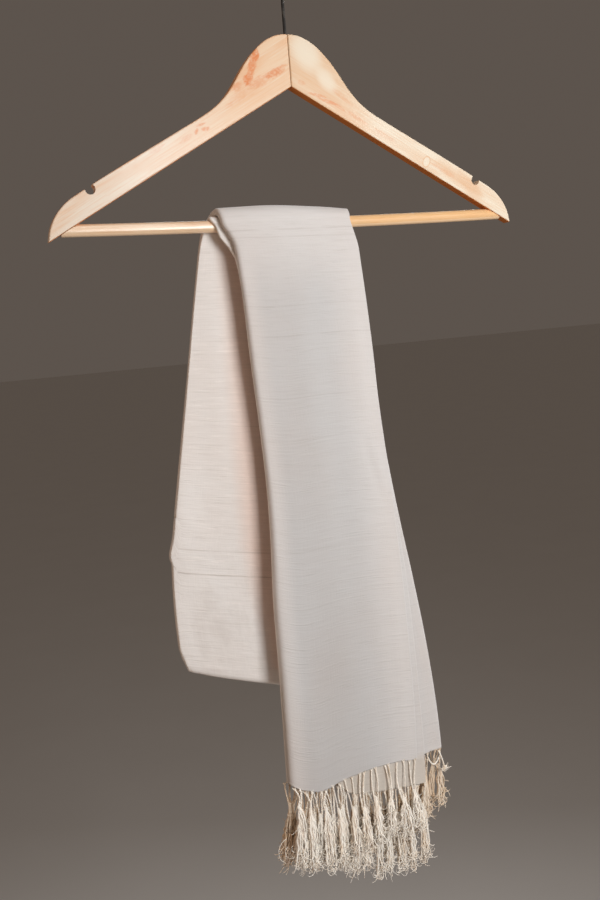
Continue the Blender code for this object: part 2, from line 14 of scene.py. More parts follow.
import logging
from collections.abc import Callable, Sequence
from dataclasses import dataclass, field
from enum import Enum, auto
from math import copysign, cos, exp, hypot, pi, radians, sin, tau
from random import Random
from typing import NamedTuple, TypeVar, Union

import bmesh
import bpy
from mathutils import Matrix, Vector


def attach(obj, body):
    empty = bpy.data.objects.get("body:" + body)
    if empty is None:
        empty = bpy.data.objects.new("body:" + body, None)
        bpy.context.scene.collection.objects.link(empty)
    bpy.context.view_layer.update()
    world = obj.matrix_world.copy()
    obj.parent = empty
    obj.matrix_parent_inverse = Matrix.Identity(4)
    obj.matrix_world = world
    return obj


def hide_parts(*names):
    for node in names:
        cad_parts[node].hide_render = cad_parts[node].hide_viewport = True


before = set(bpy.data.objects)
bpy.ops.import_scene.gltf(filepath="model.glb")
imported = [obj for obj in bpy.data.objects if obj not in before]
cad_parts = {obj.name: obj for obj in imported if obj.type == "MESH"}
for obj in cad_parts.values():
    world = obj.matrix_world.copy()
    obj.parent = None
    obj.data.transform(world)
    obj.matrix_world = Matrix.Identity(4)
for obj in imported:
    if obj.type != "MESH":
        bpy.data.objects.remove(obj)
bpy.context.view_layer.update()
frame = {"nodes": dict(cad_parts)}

LOG = logging.getLogger("hung_shawl")

MM = 0.001
# The trouser bar: its height, the lift of its ends, its sag between them, and half its length
# in metres.
BAR_Z = -231.5
BAR_LIFT = 0.8
BAR_SAG = 1.8
BAR_HALF = 0.2125
# The apex under the arms, from which the wood's patches are placed.
APEX_Z = -115.5
# The cloth's thickness, and the step between folds that lie on each other.
WALL = 0.5
HALF_WALL = WALL / 2
PLY_STEP = 1.42
# Where the falls leave the crest, and how the inner half's folds lie on the bar.
TOP_DROP = 1.0
REST_GIRTH = 5.75
INNER_STACK = 2.8
INNER_GAP = 1.05
# The outer return's girth over the bar, and how far both returns keep from the middle behind.
CREST_RETURN_GIRTH = 9.6
BACK_RETURN_GAP = 0.4
# Drops over which the folds behind, and their left edge, settle below the crest.
SETTLE_DROP = 26.0
EDGE_SETTLE_DROP = 9.0
# The first fold in front: its bow, the drop where that starts, the drop over which it grows,
# and how far the right side turns back.
FACE_BOW = 2.6
BOW_START = 4.0
BOW_RUN = 150.0
RIGHT_TAPER = 2.7
# How far the third fold's tail reaches in, and how square the folded edges are.
TAIL_REACH = 24.0
LOOP_SQUARE = 0.86
# The furthest left that the crest's foot follows the first fold's depth.
CREST_FOOT_LEFT = -74.3
# The panel behind: its middle, and where and how far its left side turns away.
PANEL_MIDDLE = -80.0
PANEL_TURN = 30.0
PANEL_AWAY = 2.4
# How far the second and third folds' right edges stand out from the first's, over the bar and
# in front, and settled behind. The inner half's first fold stands out less by its own amount.
CREST_STEPS = (-0.6, -1.2)
BACK_STEPS = (1.6, -2.8)
INNER_STEPS = (-1.6, -0.7)
INNER_BACK_STEPS = (0.4, -1.7)
INNER_RIGHT = -0.7
# The weft: its line where the bottom fold is straight, and how far it rises in front.
STRAIGHT_FOOT = 453.6
STRAIGHT_SLOPE = 0.325
FRONT_WEFT_RISE = -0.05
# Drops over which the relief grows below the crest, the part where it fades toward the bottom
# fold and how much it fades there, and how many widths a crease reaches.
FRONT_FADE = 30.0
BACK_FADE = 40.0
FOLD_FADE = 0.93
FOLD_CALM = 0.6
CREASE_REACH = 2.5
# How far the cloth waves, ripples and puckers by itself, and the hem's threads end unevenly.
WAVE = 0.16
RIPPLE = 0.07
PUCKER = 0.22
RAGGED = 0.5
# How high a crease still is at its ends, beside its middle.
CREASE_END = 0.35
# How far the second fold reaches into the left loop, and the third stays clear of it, as
# shares of the loop's radius, and the part of the third fold where it nears its right loop.
SECOND_TUCK = 0.08
THIRD_TUCK = 0.4
THIRD_TURN = 0.8
# The cloth's UV map, and its parts across the flat cloth in metres, leg by leg.
CLOTH_UV = "cloth"
FIRST_WIDTHS = (0.138, 0.020, 0.122)
THIRD_WIDTHS = (0.112, 0.014, 0.024)
SECOND_WIDTH = 0.130
LIP = 0.005


class FrontRow(NamedTuple):
    """Edges of the folds in front of the bar at one drop."""

    drop: float
    left: float
    left_inner: float
    right_first: float
    right_second: float
    right_third: float
    loop: float
    face: float


class Level(NamedTuple):
    """Something that changes from left to right: a hem's drop, or a height."""

    across: float
    value: float


class BackRow(NamedTuple):
    """Edges and faces of the doubled shawl behind the bar at one drop."""

    drop: float
    left: float
    right: float
    face: float
    rear: float


class CrestEdge(NamedTuple):
    """Edges of the folds that pass over the bar, at a turn in degrees from the front."""

    turn: float
    left: float
    left_inner: float
    right: float


class Crease(NamedTuple):
    """A soft ridge, or a trough if its height is negative, between two places on the cloth."""

    across: float
    drop: float
    across_end: float
    drop_end: float
    width: float
    height: float


class TasselLean(NamedTuple):
    """How far the tassels at one place lean sideways, and how long they are."""

    across: float
    lean: float
    length: float


FRONT_ROWS = tuple(FrontRow(*row) for row in (
    (1, -78.0, -83.0, 43.2, 42.6, 42.0, 3.6, 16.8),
    (14, -70.4, -77.2, 47.2, 46.6, 46.0, 3.6, 16.8),
    (24, -67.9, -68.6, 49.8, 49.1, 48.5, 3.6, 16.85),
    (40, -66.6, -65.0, 51.3, 50.6, 50.0, 3.6, 16.9),
    (68, -64.6, -62.8, 53.7, 53.0, 52.4, 3.7, 17.0),
    (114, -62.8, -61.3, 56.9, 56.3, 55.7, 3.8, 17.2),
    (168, -60.2, -58.7, 59.5, 59.2, 59.2, 3.9, 17.5),
    (232, -58.0, -56.5, 64.6, 65.8, 67.2, 4.1, 17.9),
    (284, -58.6, -57.1, 68.3, 71.4, 75.0, 4.4, 18.2),
    (345, -61.2, -59.7, 71.8, 77.0, 85.4, 4.8, 18.6),
    (413, -61.6, -60.1, 74.0, 80.6, 95.6, 5.2, 19.0),
    (480, -62.5, -61.0, 75.2, 83.0, 103.0, 5.6, 19.3),
    (534, -63.4, -61.9, 74.0, 84.0, 106.4, 6.0, 19.5),
    (565, -63.4, -61.9, 73.6, 82.8, 106.4, 6.0, 19.6),
))
HEM_FIRST = tuple(Level(*row) for row in (
    (-66, 518), (-54, 527), (-38, 534), (-26, 534), (-10, 530), (8, 527), (40, 527), (75, 533)))
HEM_SECOND = tuple(Level(*row) for row in (
    (-60, 527), (-18, 530), (-4, 545), (40, 555), (85, 562)))
HEM_THIRD = tuple(Level(*row) for row in (
    (-60, 526), (-16, 530), (30, 541), (85, 532), (108, 530)))
HEM_INNER = tuple(Level(*row) for row in (
    (-62, 525), (0, 536), (50, 541), (100, 532)))

BACK_ROWS = tuple(BackRow(*row) for row in (
    (1, -88.6, 45.0, 5.6, 14.2),
    (14, -92.4, 45.4, 5.7, 14.3),
    (34, -96.6, 44.0, 5.9, 14.6),
    (70, -103.7, 37.0, 6.2, 15.2),
    (122, -113.6, 26.0, 6.6, 16.0),
    (175, -124.0, 15.5, 7.0, 16.8),
    (228, -134.5, 6.5, 7.3, 17.4),
    (282, -144.4, -2.0, 7.6, 18.0),
    (309, -147.0, -5.0, 7.7, 18.3),
    (345, -148.2, -7.0, 7.8, 18.6),
    (381, -147.8, -8.0, 7.9, 18.8),
    (470, -147.6, -8.0, 8.0, 19.0),
))
BACK_FOLD = tuple(Level(*row) for row in (
    (-149, 373), (-147.2, 380), (-145.3, 389), (-143.4, 397), (-140.5, 401), (-136, 402.8),
    (-131, 404.5), (-117, 410.5), (-90, 420.8), (-55, 433.5), (-35, 441), (-20, 444),
    (-12, 441), (-8, 434)))
CREST_TOP = tuple(Level(*row) for row in (
    (-90, 13.8), (-82, 15.2), (-66, 16.3), (-50, 16.8), (-36, 16.8), (-6, 16.1), (20, 14.1),
    (35, 12.6), (44, 11.7), (52, 11.2)))
CREST_EDGES = tuple(CrestEdge(*row) for row in (
    (0, -78.2, -82.0, 43.2), (45, -79.4, -85.4, 44.4), (90, -80.2, -85.4, 45.8),
    (135, -83.1, -85.4, 45.2), (180, -88.6, -89.0, 45.0)))

FRONT_CREASES = tuple(Crease(*row) for row in (
    (41, 200, 53, 256, 2.6, -0.75),
    (46, 198, 58, 250, 5.0, 0.5),
    (-30, 30, -22, 250, 14.0, -0.55),
    (10, 60, 22, 330, 16.0, -0.5),
    (-52, 300, -50, 500, 8.0, 0.6),
    (-24, 280, -18, 530, 20.0, -1.5),
    (38, 230, 44, 500, 24.0, 0.9),
    (30, 380, 40, 528, 9.0, -0.5),
    (58, 330, 64, 520, 6.0, 0.55),
    (-50, 60, -46, 190, 6.0, 0.45),
    (38, 60, 44, 180, 8.0, 0.4),
    (-60, 24, -20, 46, 6.0, 0.35),
    (48, 26, 20, 60, 6.0, 0.3),
))
BACK_PANEL_CREASES = tuple(Crease(*row) for row in (
    (-62, 120, -66, 270, 16.0, 2.4),
    (-60, 340, -60, 440, 16.0, -2.2),
    (-130, 120, -137, 300, 7.0, 0.7),
    (-104, 70, -112, 260, 9.0, -0.6),
    (-88, 60, -92, 230, 6.0, 0.6),
    (-122, 300, -96, 395, 10.0, 0.9),
    (-100, 300, -78, 352, 8.0, -0.7),
    (-135, 330, -128, 388, 6.0, -0.6),
    (-80, 350, -66, 415, 7.0, 0.7),
    (-142, 296, -70, 318, 3.0, -0.35),
    (-138, 276, -62, 297, 3.0, -0.3),
    (-116, 372, -74, 392, 5.0, -0.45),
    (-118, 226, -110, 268, 4.0, -0.4),
    (-140, 250, -120, 268, 5.0, 0.4),
))
REAR_CREASES = tuple(Crease(*row) for row in (
    (-60, 20, -84, 300, 12.0, 0.9),
    (-20, 20, -40, 330, 14.0, -0.35),
    (20, 30, -14, 260, 10.0, 0.8),
    (-100, 120, -124, 380, 10.0, 0.8),
    (-92, 330, -40, 410, 9.0, 0.7),
    (-130, 300, -100, 390, 6.0, -0.35),
    (-60, 360, -20, 430, 7.0, -0.3),
    (-80, 60, -96, 130, 5.0, 0.5),
    (34, 20, 18, 140, 6.0, 0.6),
    (-50, 240, -46, 300, 5.0, 0.5),
))
INNER_REAR_CREASES = tuple(Crease(*row) for row in (
    (-40, 200, -30, 520, 12.0, 0.8),
    (10, 240, 24, 530, 14.0, -0.35),
    (55, 300, 70, 528, 10.0, 0.7),
    (-56, 420, -20, 500, 7.0, 0.5),
    (20, 440, 66, 420, 8.0, 0.5),
))
TICK_TOP = 262.0
TICK_PEAK = 289.0
TICK_FOOT = 298.0
TICK_HEIGHT = 2.4

TASSEL_LEANS = tuple(TasselLean(*row) for row in (
    (-68, -10, 80), (-56, -7, 80), (-40, -3, 79), (-10, -1, 84), (20, 0, 90), (50, 0, 90),
    (75, -1, 82), (90, -3, 70), (108, -2, 60)))
FIRST_LENGTHS = tuple(Level(*row) for row in (
    (-68, 80), (-40, 80), (-12, 80), (15, 74), (70, 72)))
FIRST_NECKS = tuple(Level(*row) for row in (
    (-68, 0.34), (-20, 0.40), (15, 0.52), (70, 0.56)))
# How far back the tassels of each fold swing, the column where the first hem turns into its
# loop, and the depth of the third fold's loose ends.
FIRST_SWING = -7.0
LOOP_SWING = 0.0
SECOND_SWING = -1.0
THIRD_SWING = 3.0
INNER_SWING = 6.0
LOOP_COLUMN = 36
LOOSE_DEPTH = -19.0
# The hairs near a yarn's tip, as how many places back from it they start and their size.
TIP_HAIRS = ((1, 1.0), (1, 1.4), (2, 1.2), (4, 1.3))
# Turn between one yarn of a lock and the next, in radians, which spreads them evenly.
GOLDEN_TURN = 2.39996

Row = TypeVar("Row", bound=tuple)


def mix(a: float, b: float, part: float) -> float:
    """Returns the value a given part of the way from a to b."""
    return a + (b - a) * part


def clamp(value: float) -> float:
    """Returns the value kept between 0 and 1."""
    return min(1.0, max(0.0, value))


def smooth(value: float) -> float:
    """Returns a soft step from 0 to 1 as the value goes from 0 to 1."""
    part = clamp(value)
    return part * part * (3 - 2 * part)


def eased(rows: Sequence[Row], key: int, column: int, where: float) -> float:
    """Reads a table between its rows, along a Catmull-Rom curve.

    Args:
        rows: The table, in rising order of its key column.
        key: Index of the column that places the rows.
        column: Index of the column to read.
        where: The place to read it at.

    Returns:
        The eased value, held level beyond the table's ends.
    """
    if where <= rows[0][key]:
        return rows[0][column]
    if where >= rows[-1][key]:
        return rows[-1][column]
    i = 0
    while rows[i + 1][key] < where:
        i += 1
    before, after = rows[max(i - 1, 0)], rows[min(i + 2, len(rows) - 1)]
    near, far = rows[i], rows[i + 1]
    span = far[key] - near[key]
    slope_in = (far[column] - before[column]) / (far[key] - before[key])
    slope_out = (after[column] - near[column]) / (after[key] - near[key])
    t = (where - near[key]) / span
    return (
        near[column] * (2 * t**3 - 3 * t**2 + 1)
        + slope_in * span * (t**3 - 2 * t**2 + t)
        + far[column] * (3 * t**2 - 2 * t**3)
        + slope_out * span * (t**3 - t**2)
    )


def front(column: str, drop: float) -> float:
    """Returns a column of the front table at a drop."""
    return eased(FRONT_ROWS, 0, FrontRow._fields.index(column), drop)


def back(column: str, drop: float) -> float:
    """Returns a column of the back table at a drop."""
    return eased(BACK_ROWS, 0, BackRow._fields.index(column), drop)


def crest(column: str, turn: float) -> float:
    """Returns an edge of the crest at a turn over the bar, in degrees."""
    return eased(CREST_EDGES, 0, CrestEdge._fields.index(column), turn)


def level(table: Sequence[Level], across: float) -> float:
    """Returns a hem's drop, or a height, at a place across."""
    return eased(table, 0, 1, across)


def place(across: float, depth: float, drop: float) -> Vector:
    """Returns a point in metres from millimetres across, toward the back and below the bar."""
    return Vector((across, depth, BAR_Z - drop)) * MM


def even_parts(count: int, lip: float = 0.0, far_lip: float = 0.0) -> list[float]:
    """Lists even parts of a length, with a narrow strip at its ends that keeps edges crisp.

    Args:
        count: Number of even steps.
        lip: Share of the length taken by a narrow first step, or 0 for none.
        far_lip: The same for the last step.

    Returns:
        Parts from 0 to 1.
    """
    inner = [mix(lip, 1 - far_lip, i / count) for i in range(count + 1)]
    return [0.0] * (lip > 0) + inner + [1.0] * (far_lip > 0)


class Stage(Enum):
    """The stretches that the shawl's run passes through."""

    FRONT = auto()
    CREST = auto()
    BACK = auto()
    TURN = auto()


class Half(Enum):
    """The two halves of the doubled shawl: the one outside, and the one against the bar."""

    OUTER = 1
    INNER = -1


class Leg(Enum):
    """The parts of the folded width, in the order in which they lie from the outside in."""

    FIRST = auto()
    LEFT_LOOP = auto()
    RETURN = auto()
    SECOND = auto()
    THIRD = auto()
    RIGHT_LOOP = auto()
    TAIL = auto()


class Station(NamedTuple):
    """One row of the cloth along the run: its stretch, its half and how far it is on."""

    stage: Stage
    half: Half
    part: float
    run: float


class Column(NamedTuple):
    """One column of the cloth across its width, with its place on the flat cloth in metres."""

    leg: Leg
    part: float
    width: float


@dataclass
class Bundle:
    """The folds of one half of the shawl at one place along its run.

    Attributes:
        left: Left limit of the cloth.
        rights: Right edges of the first, second and third fold.
        face: Girth of the first fold at a place across.
        rest: Girth of the return, the ply furthest inside the bundle.
    """

    left: float
    rights: tuple[float, float, float]
    face: Callable[[float], float]
    rest: float
    radius: float = field(init=False)
    start: float = field(init=False)
    right_radius: float = field(init=False)
    end: float = field(init=False)

    def __post_init__(self) -> None:
        """Works out both loops from the room between the first fold and the return."""
        self.radius = (self.face(self.left + abs(self.face(self.left) - self.rest) / 2)
                       - self.rest) / 2
        self.start = self.left + HALF_WALL + abs(self.radius)
        self.right_radius = (self.ply(2, self.rights[2]) - self.rest) / 2
        self.end = self.rights[2] - abs(self.right_radius)

    def ply(self, number: int, across: float) -> float:
        """Finds the girth of a fold.

        Args:
            number: 0 for the first, 1 for the second and 2 for the third fold.
            across: The place across.

        Returns:
            Its girth there.
        """
        face = self.face(across)
        room = (face - self.rest) / 3
        return face - number * copysign(min(abs(room), PLY_STEP), room)

    def point(self, column: Column) -> tuple[float, float, float]:
        """Places a column of the cloth in this bundle.

        Args:
            column: The column.

        Returns:
            Its place across, its girth, and how far it takes part in the face's relief.
        """
        t = column.part
        if column.leg is Leg.FIRST:
            across = mix(self.rights[0], self.start, t)
            return across, self.face(across), 1.0
        if column.leg is Leg.LEFT_LOOP:
            across = self.start - abs(self.radius) * sin(pi * t) ** LOOP_SQUARE
            through = copysign(abs(cos(pi * t)) ** LOOP_SQUARE, cos(pi * t))
            return across, self.rest + self.radius * (1 + through), 1 - t
        if column.leg is Leg.RETURN:
            return mix(self.start, self.end - TAIL_REACH - 1, t), self.rest, 0.0
        if column.leg is Leg.SECOND:
            across = mix(self.rights[1], self.start - SECOND_TUCK * abs(self.radius), t)
            return across, self.ply(1, across), 1.0
        if column.leg is Leg.THIRD:
            across = mix(self.start - THIRD_TUCK * abs(self.radius), self.end, t)
            girth = self.ply(2, across)
            last = self.rest + 2 * self.right_radius
            near = smooth((t - THIRD_TURN) / (1 - THIRD_TURN))
            return across, mix(girth, last, near), 1.0
        if column.leg is Leg.RIGHT_LOOP:
            across = self.end + abs(self.right_radius) * sin(pi * t)
            return across, self.rest + self.right_radius * (1 + cos(pi * t)), 1 - t
        return mix(self.end, self.end - TAIL_REACH, t), self.rest, 0.0


def first_depth(across: float, drop: float) -> float:
    """Finds how deep the first fold lies in front, bowed and turned back at the right.

    Args:
        across: The place across.
        drop: The place's drop.

    Returns:
        Its depth, negative toward the front.
    """
    right = front("right_first", drop)
    start = front("left", drop) + HALF_WALL + front("loop", drop)
    part = (right - across) / (right - start)
    ramp = smooth((drop - BOW_START) / BOW_RUN)
    bow = FACE_BOW * ramp * sin(pi * clamp(part)) ** 1.5
    return -front("face", drop) - bow + RIGHT_TAPER * max(0.0, 1 - part) ** 2


def relief(creases: Sequence[Crease], across: float, drop: float) -> float:
    """Adds up the creases near a place and a faint unevenness of the hanging cloth.

    Args:
        creases: The creases of this stretch of cloth.
        across: The place across.
        drop: The place's drop.

    Returns:
        How far the cloth stands out there, in millimetres.
    """
    total = WAVE * sin(across / 13 + 0.8 * sin(drop / 47)) * sin(drop / 61 + 0.4)
    total += RIPPLE * sin(across / 5.1 + drop / 37) * sin(drop / 23 + 1.1)
    for crease in creases:
        run = (crease.across_end - crease.across, crease.drop_end - crease.drop)
        reach = run[0] ** 2 + run[1] ** 2
        along = clamp(((across - crease.across) * run[0] + (drop - crease.drop) * run[1]) / reach)
        off = hypot(across - crease.across - along * run[0], drop - crease.drop - along * run[1])
        if off < CREASE_REACH * crease.width:
            fade = mix(CREASE_END, 1.0, sin(pi * along))
            total += crease.height * fade * exp(-((off / crease.width) ** 2))
    return total


@dataclass(frozen=True)
class Run:
    """The run of the shawl from its front fringe over the bar and back to its inner fringe.

    Attributes:
        front_rows: Rows of the outer half in front.
        crest_rows: Rows over the bar.
        back_rows: Rows behind the bar, in each half.
        turn_rows: Rows round the fold at the bottom.
        inner_rows: Rows of the inner half in front.
        front_run: Length of the front stretch, in metres.
        crest_run: Length over the bar, outside.
        back_run: Length behind the bar.
        turn_run: Length round the bottom fold.
        inner_crest_run: Length over the bar, inside.
    """

    front_rows: int = 112
    crest_rows: int = 20
    back_rows: int = 78
    turn_rows: int = 10
    inner_rows: int = 56
    front_run: float = 0.536
    crest_run: float = 0.048
    back_run: float = 0.412
    turn_run: float = 0.0165
    inner_crest_run: float = 0.0225

    def stations(self) -> list[Station]:
        """Lists the rows of the cloth in the order of its length.

        Returns:
            The rows, from the outer fringed edge to the inner one.
        """
        lip = 0.0016
        rows: list[Station] = []
        begun = 0.0

        def add(stage: Stage, half: Half, parts: Sequence[float], run: float) -> None:
            """Adds the rows of one stretch.

            Args:
                stage: The stretch.
                half: Its half of the doubled shawl.
                parts: The parts of its rows, which may count backward.
                run: Its length, in metres.
            """
            nonlocal begun
            skip = 1 if rows else 0
            for part in parts[skip:]:
                share = abs(part - parts[0])
                rows.append(Station(stage, half, part, begun + share * run))
            begun += run

        down_front = even_parts(self.front_rows, far_lip=lip)
        add(Stage.FRONT, Half.OUTER, down_front[::-1], self.front_run)
        over = even_parts(self.crest_rows)
        add(Stage.CREST, Half.OUTER, over, self.crest_run)
        down = even_parts(self.back_rows)
        add(Stage.BACK, Half.OUTER, down, self.back_run)
        add(Stage.TURN, Half.OUTER, even_parts(self.turn_rows), self.turn_run)
        add(Stage.BACK, Half.INNER, down[::-1], self.back_run)
        add(Stage.CREST, Half.INNER, over[::-1], self.inner_crest_run)
        add(Stage.FRONT, Half.INNER, even_parts(self.inner_rows, far_lip=lip), self.front_run)
        return rows


@dataclass(frozen=True)
class Drape:
    """How one sheet of the folded silk lies at every place of the run.

    Attributes:
        hem: Drop of its fringed edge in front.
    """

    hem: Sequence[Level]

    def point(self, station: Station, column: Column) -> Vector:
        """Places one corner of the cloth's grid.

        Args:
            station: Its row.
            column: Its column.

        Returns:
            Its place in metres.
        """
        if station.stage is Stage.FRONT:
            return self.in_front(station, column)
        if station.stage is Stage.CREST:
            return self.over_bar(station, column)
        if station.stage is Stage.BACK:
            return self.behind(station.half, station.part, column)
        return self.round_fold(station.part, column)

    def in_front(self, station: Station, column: Column) -> Vector:
        """Places a corner of the front fall, on a row that ends parallel to the hem.

        Args:
            station: Its row.
            column: Its column.

        Returns:
            Its place in metres.
        """
        outer = station.half is Half.OUTER
        table = self.hem if outer else HEM_INNER
        bundle = outer_front if outer else inner_front
        creases = FRONT_CREASES if outer else INNER_REAR_CREASES
        across = bundle(mix(TOP_DROP, level(table, 0), station.part)).point(column)[0]
        ragged = RAGGED * sin(across / 3.1) * sin(across / 7.7 + 1) * station.part**8
        drop = mix(TOP_DROP, level(table, across) + ragged, station.part)
        across, girth, share = bundle(drop).point(column)
        fade = smooth(drop / FRONT_FADE)
        girth += station.half.value * share * fade * relief(creases, across, drop)
        return place(across, -girth, drop)

    def over_bar(self, station: Station, column: Column) -> Vector:
        """Places a corner of the stretch over the bar.

        Args:
            station: Its row.
            column: Its column.

        Returns:
            Its place in metres.
        """
        turn = 180 * station.part
        bundle = outer_crest(turn) if station.half is Half.OUTER else inner_crest(turn)
        across, girth, share = bundle.point(column)
        pucker = PUCKER * sin(turn / 17 + across / 9) * sin(radians(turn)) * share
        girth += pucker if station.half is Half.OUTER else 0.0
        angle = radians(turn)
        return place(across, -girth * cos(angle), TOP_DROP - girth * sin(angle))

    def fall(self, half: Half, part: float, column: Column) -> tuple[float, float, float]:
        """Finds a corner of the stretch behind the bar.

        Args:
            half: Its half of the doubled shawl.
            part: Its part of the way down.
            column: Its column.

        Returns:
            Its place across, its girth and its drop.
        """
        bundle = outer_back if half is Half.OUTER else inner_back
        creases = REAR_CREASES if half is Half.OUTER else BACK_PANEL_CREASES
        across = bundle(mix(TOP_DROP, level(BACK_FOLD, PANEL_MIDDLE), part)).point(column)[0]
        foot = level(BACK_FOLD, across) - self.turn_radius()
        drop = mix(TOP_DROP, foot, part)
        across, girth, share = bundle(drop).point(column)
        fade = smooth(drop / BACK_FADE)
        fade *= 1 - FOLD_CALM * smooth((part - FOLD_FADE) / (1 - FOLD_FADE))
        girth += half.value * share * fade * relief(creases, across, drop)
        return across, girth, drop

    def behind(self, half: Half, part: float, column: Column) -> Vector:
        """Places a corner of the stretch behind the bar."""
        across, girth, drop = self.fall(half, part, column)
        return place(across, girth, drop)

    def round_fold(self, part: float, column: Column) -> Vector:
        """Places a corner of the bottom fold, which joins the two halves behind the bar.

        Args:
            part: Its part of the way round.
            column: Its column.

        Returns:
            Its place in metres.
        """
        across, girth, drop = self.fall(Half.OUTER, 1.0, column)
        inner_across, inner_girth, inner_drop = self.fall(Half.INNER, 1.0, column)
        radius = (girth - inner_girth) / 2
        angle = pi * part
        swing = (1 - cos(angle)) / 2
        return place(
            mix(across, inner_across, swing),
            (girth + inner_girth) / 2 + radius * cos(angle),
            mix(drop, inner_drop, swing) + radius * sin(angle),
        )

    @staticmethod
    def turn_radius() -> float:
        """Returns the radius of the bottom fold on the outermost ply."""
        drop = BACK_FOLD[len(BACK_FOLD) // 2].value
        return (back("rear", drop) - back("face", drop)) / 2 - HALF_WALL


def right_edges(right: float, steps: Sequence[float]) -> tuple[float, float, float]:
    """Returns the three folds' right edges, from the first fold's and the others' steps."""
    return right, right + steps[0], right + steps[1]


def outer_front(drop: float) -> Bundle:
    """Gathers the outer half's folds in front.

    Args:
        drop: The drop.

    Returns:
        The folds there.
    """
    left = front("left", drop)
    start = left + HALF_WALL + front("loop", drop)
    return Bundle(
        left=left,
        rights=(front("right_first", drop), front("right_second", drop),
                front("right_third", drop)),
        face=lambda across: -first_depth(across, drop),
        rest=-first_depth(start, drop) - 2 * front("loop", drop),
    )


def inner_front(drop: float) -> Bundle:
    """Gathers the inner half's folds in front, which hang behind the outer half.

    Args:
        drop: The drop.

    Returns:
        The folds there.
    """
    right = mix(front("right_first", drop), front("right_third", drop), 0.6)
    rest = outer_front(drop).rest - INNER_GAP
    return Bundle(
        left=front("left_inner", drop),
        rights=right_edges(right, INNER_STEPS),
        face=lambda across: rest - INNER_STACK,
        rest=rest,
    )


def outer_crest(turn: float) -> Bundle:
    """Gathers the outer half's folds over the bar, fuller at the left.

    Args:
        turn: The turn over the bar from the front, in degrees.

    Returns:
        The folds there.
    """
    bulge = sin(radians(turn)) ** 2

    def face(across: float) -> float:
        """Finds the girth of the crest's outside.

        Args:
            across: The place across.

        Returns:
            Its girth.
        """
        foot = -first_depth(max(across, CREST_FOOT_LEFT), TOP_DROP)
        if turn > 90:
            foot = back("rear", TOP_DROP) - HALF_WALL
        return mix(foot, level(CREST_TOP, across) - HALF_WALL, bulge)

    return Bundle(
        left=crest("left", turn),
        rights=right_edges(crest("right", turn), CREST_STEPS),
        face=face,
        rest=CREST_RETURN_GIRTH,
    )


def inner_crest(turn: float) -> Bundle:
    """Gathers the inner half's folds over the bar, which lie on it.

    Args:
        turn: The turn over the bar from the front, in degrees.

    Returns:
        The folds there.
    """
    return Bundle(
        left=crest("left_inner", turn),
        rights=right_edges(crest("right", turn) + INNER_RIGHT, INNER_STEPS),
        face=lambda across: REST_GIRTH,
        rest=REST_GIRTH + INNER_STACK,
    )


def outer_back(drop: float) -> Bundle:
    """Gathers the outer half's folds behind the bar, where they lie furthest back.

    Args:
        drop: The drop.

    Returns:
        The folds there.
    """
    middle = (back("face", drop) + back("rear", drop)) / 2
    settled = smooth((drop - TOP_DROP) / SETTLE_DROP)
    face = back("rear", drop) - HALF_WALL
    steps = [mix(a, b, settled) for a, b in zip(CREST_STEPS, BACK_STEPS)]
    return Bundle(
        left=back("left", drop) - left_tick(drop),
        rights=right_edges(back("right", drop), steps),
        face=lambda across: face,
        rest=mix(CREST_RETURN_GIRTH, middle + BACK_RETURN_GAP, settled),
    )


def left_tick(drop: float) -> float:
    """Finds how far a small fold of the left edge behind stands out, sharp at its foot.

    Args:
        drop: The drop.

    Returns:
        Its reach to the left.
    """
    if drop < TICK_PEAK:
        return TICK_HEIGHT * smooth((drop - TICK_TOP) / (TICK_PEAK - TICK_TOP)) ** 2
    return TICK_HEIGHT * smooth((TICK_FOOT - drop) / (TICK_FOOT - TICK_PEAK))


def inner_back(drop: float) -> Bundle:
    """Gathers the inner half's folds behind the bar, whose first fold faces the front.

    Args:
        drop: The drop.

    Returns:
        The folds there.
    """
    middle = (back("face", drop) + back("rear", drop)) / 2
    settled = smooth((drop - TOP_DROP) / SETTLE_DROP)
    face = mix(REST_GIRTH, back("face", drop) + HALF_WALL, settled)
    steps = [mix(a, b, settled) for a, b in zip(INNER_STEPS, INNER_BACK_STEPS)]
    left = mix(crest("left_inner", 180), back("left", drop) - left_tick(drop),
               smooth((drop - TOP_DROP) / EDGE_SETTLE_DROP))

    def panel(across: float) -> float:
        """Returns the girth of the panel, which turns away toward its left edge."""
        away = 1 - clamp((across - left) / PANEL_TURN)
        return face + PANEL_AWAY * settled * away**2

    return Bundle(
        left=left,
        rights=right_edges(back("right", drop) + INNER_RIGHT, steps),
        face=panel,
        rest=mix(REST_GIRTH + INNER_STACK, middle - BACK_RETURN_GAP, settled),
    )


SoftEdge = tuple[float, float]
RGB = tuple[float, float, float]
Value = Union[float, tuple, "Socket"]


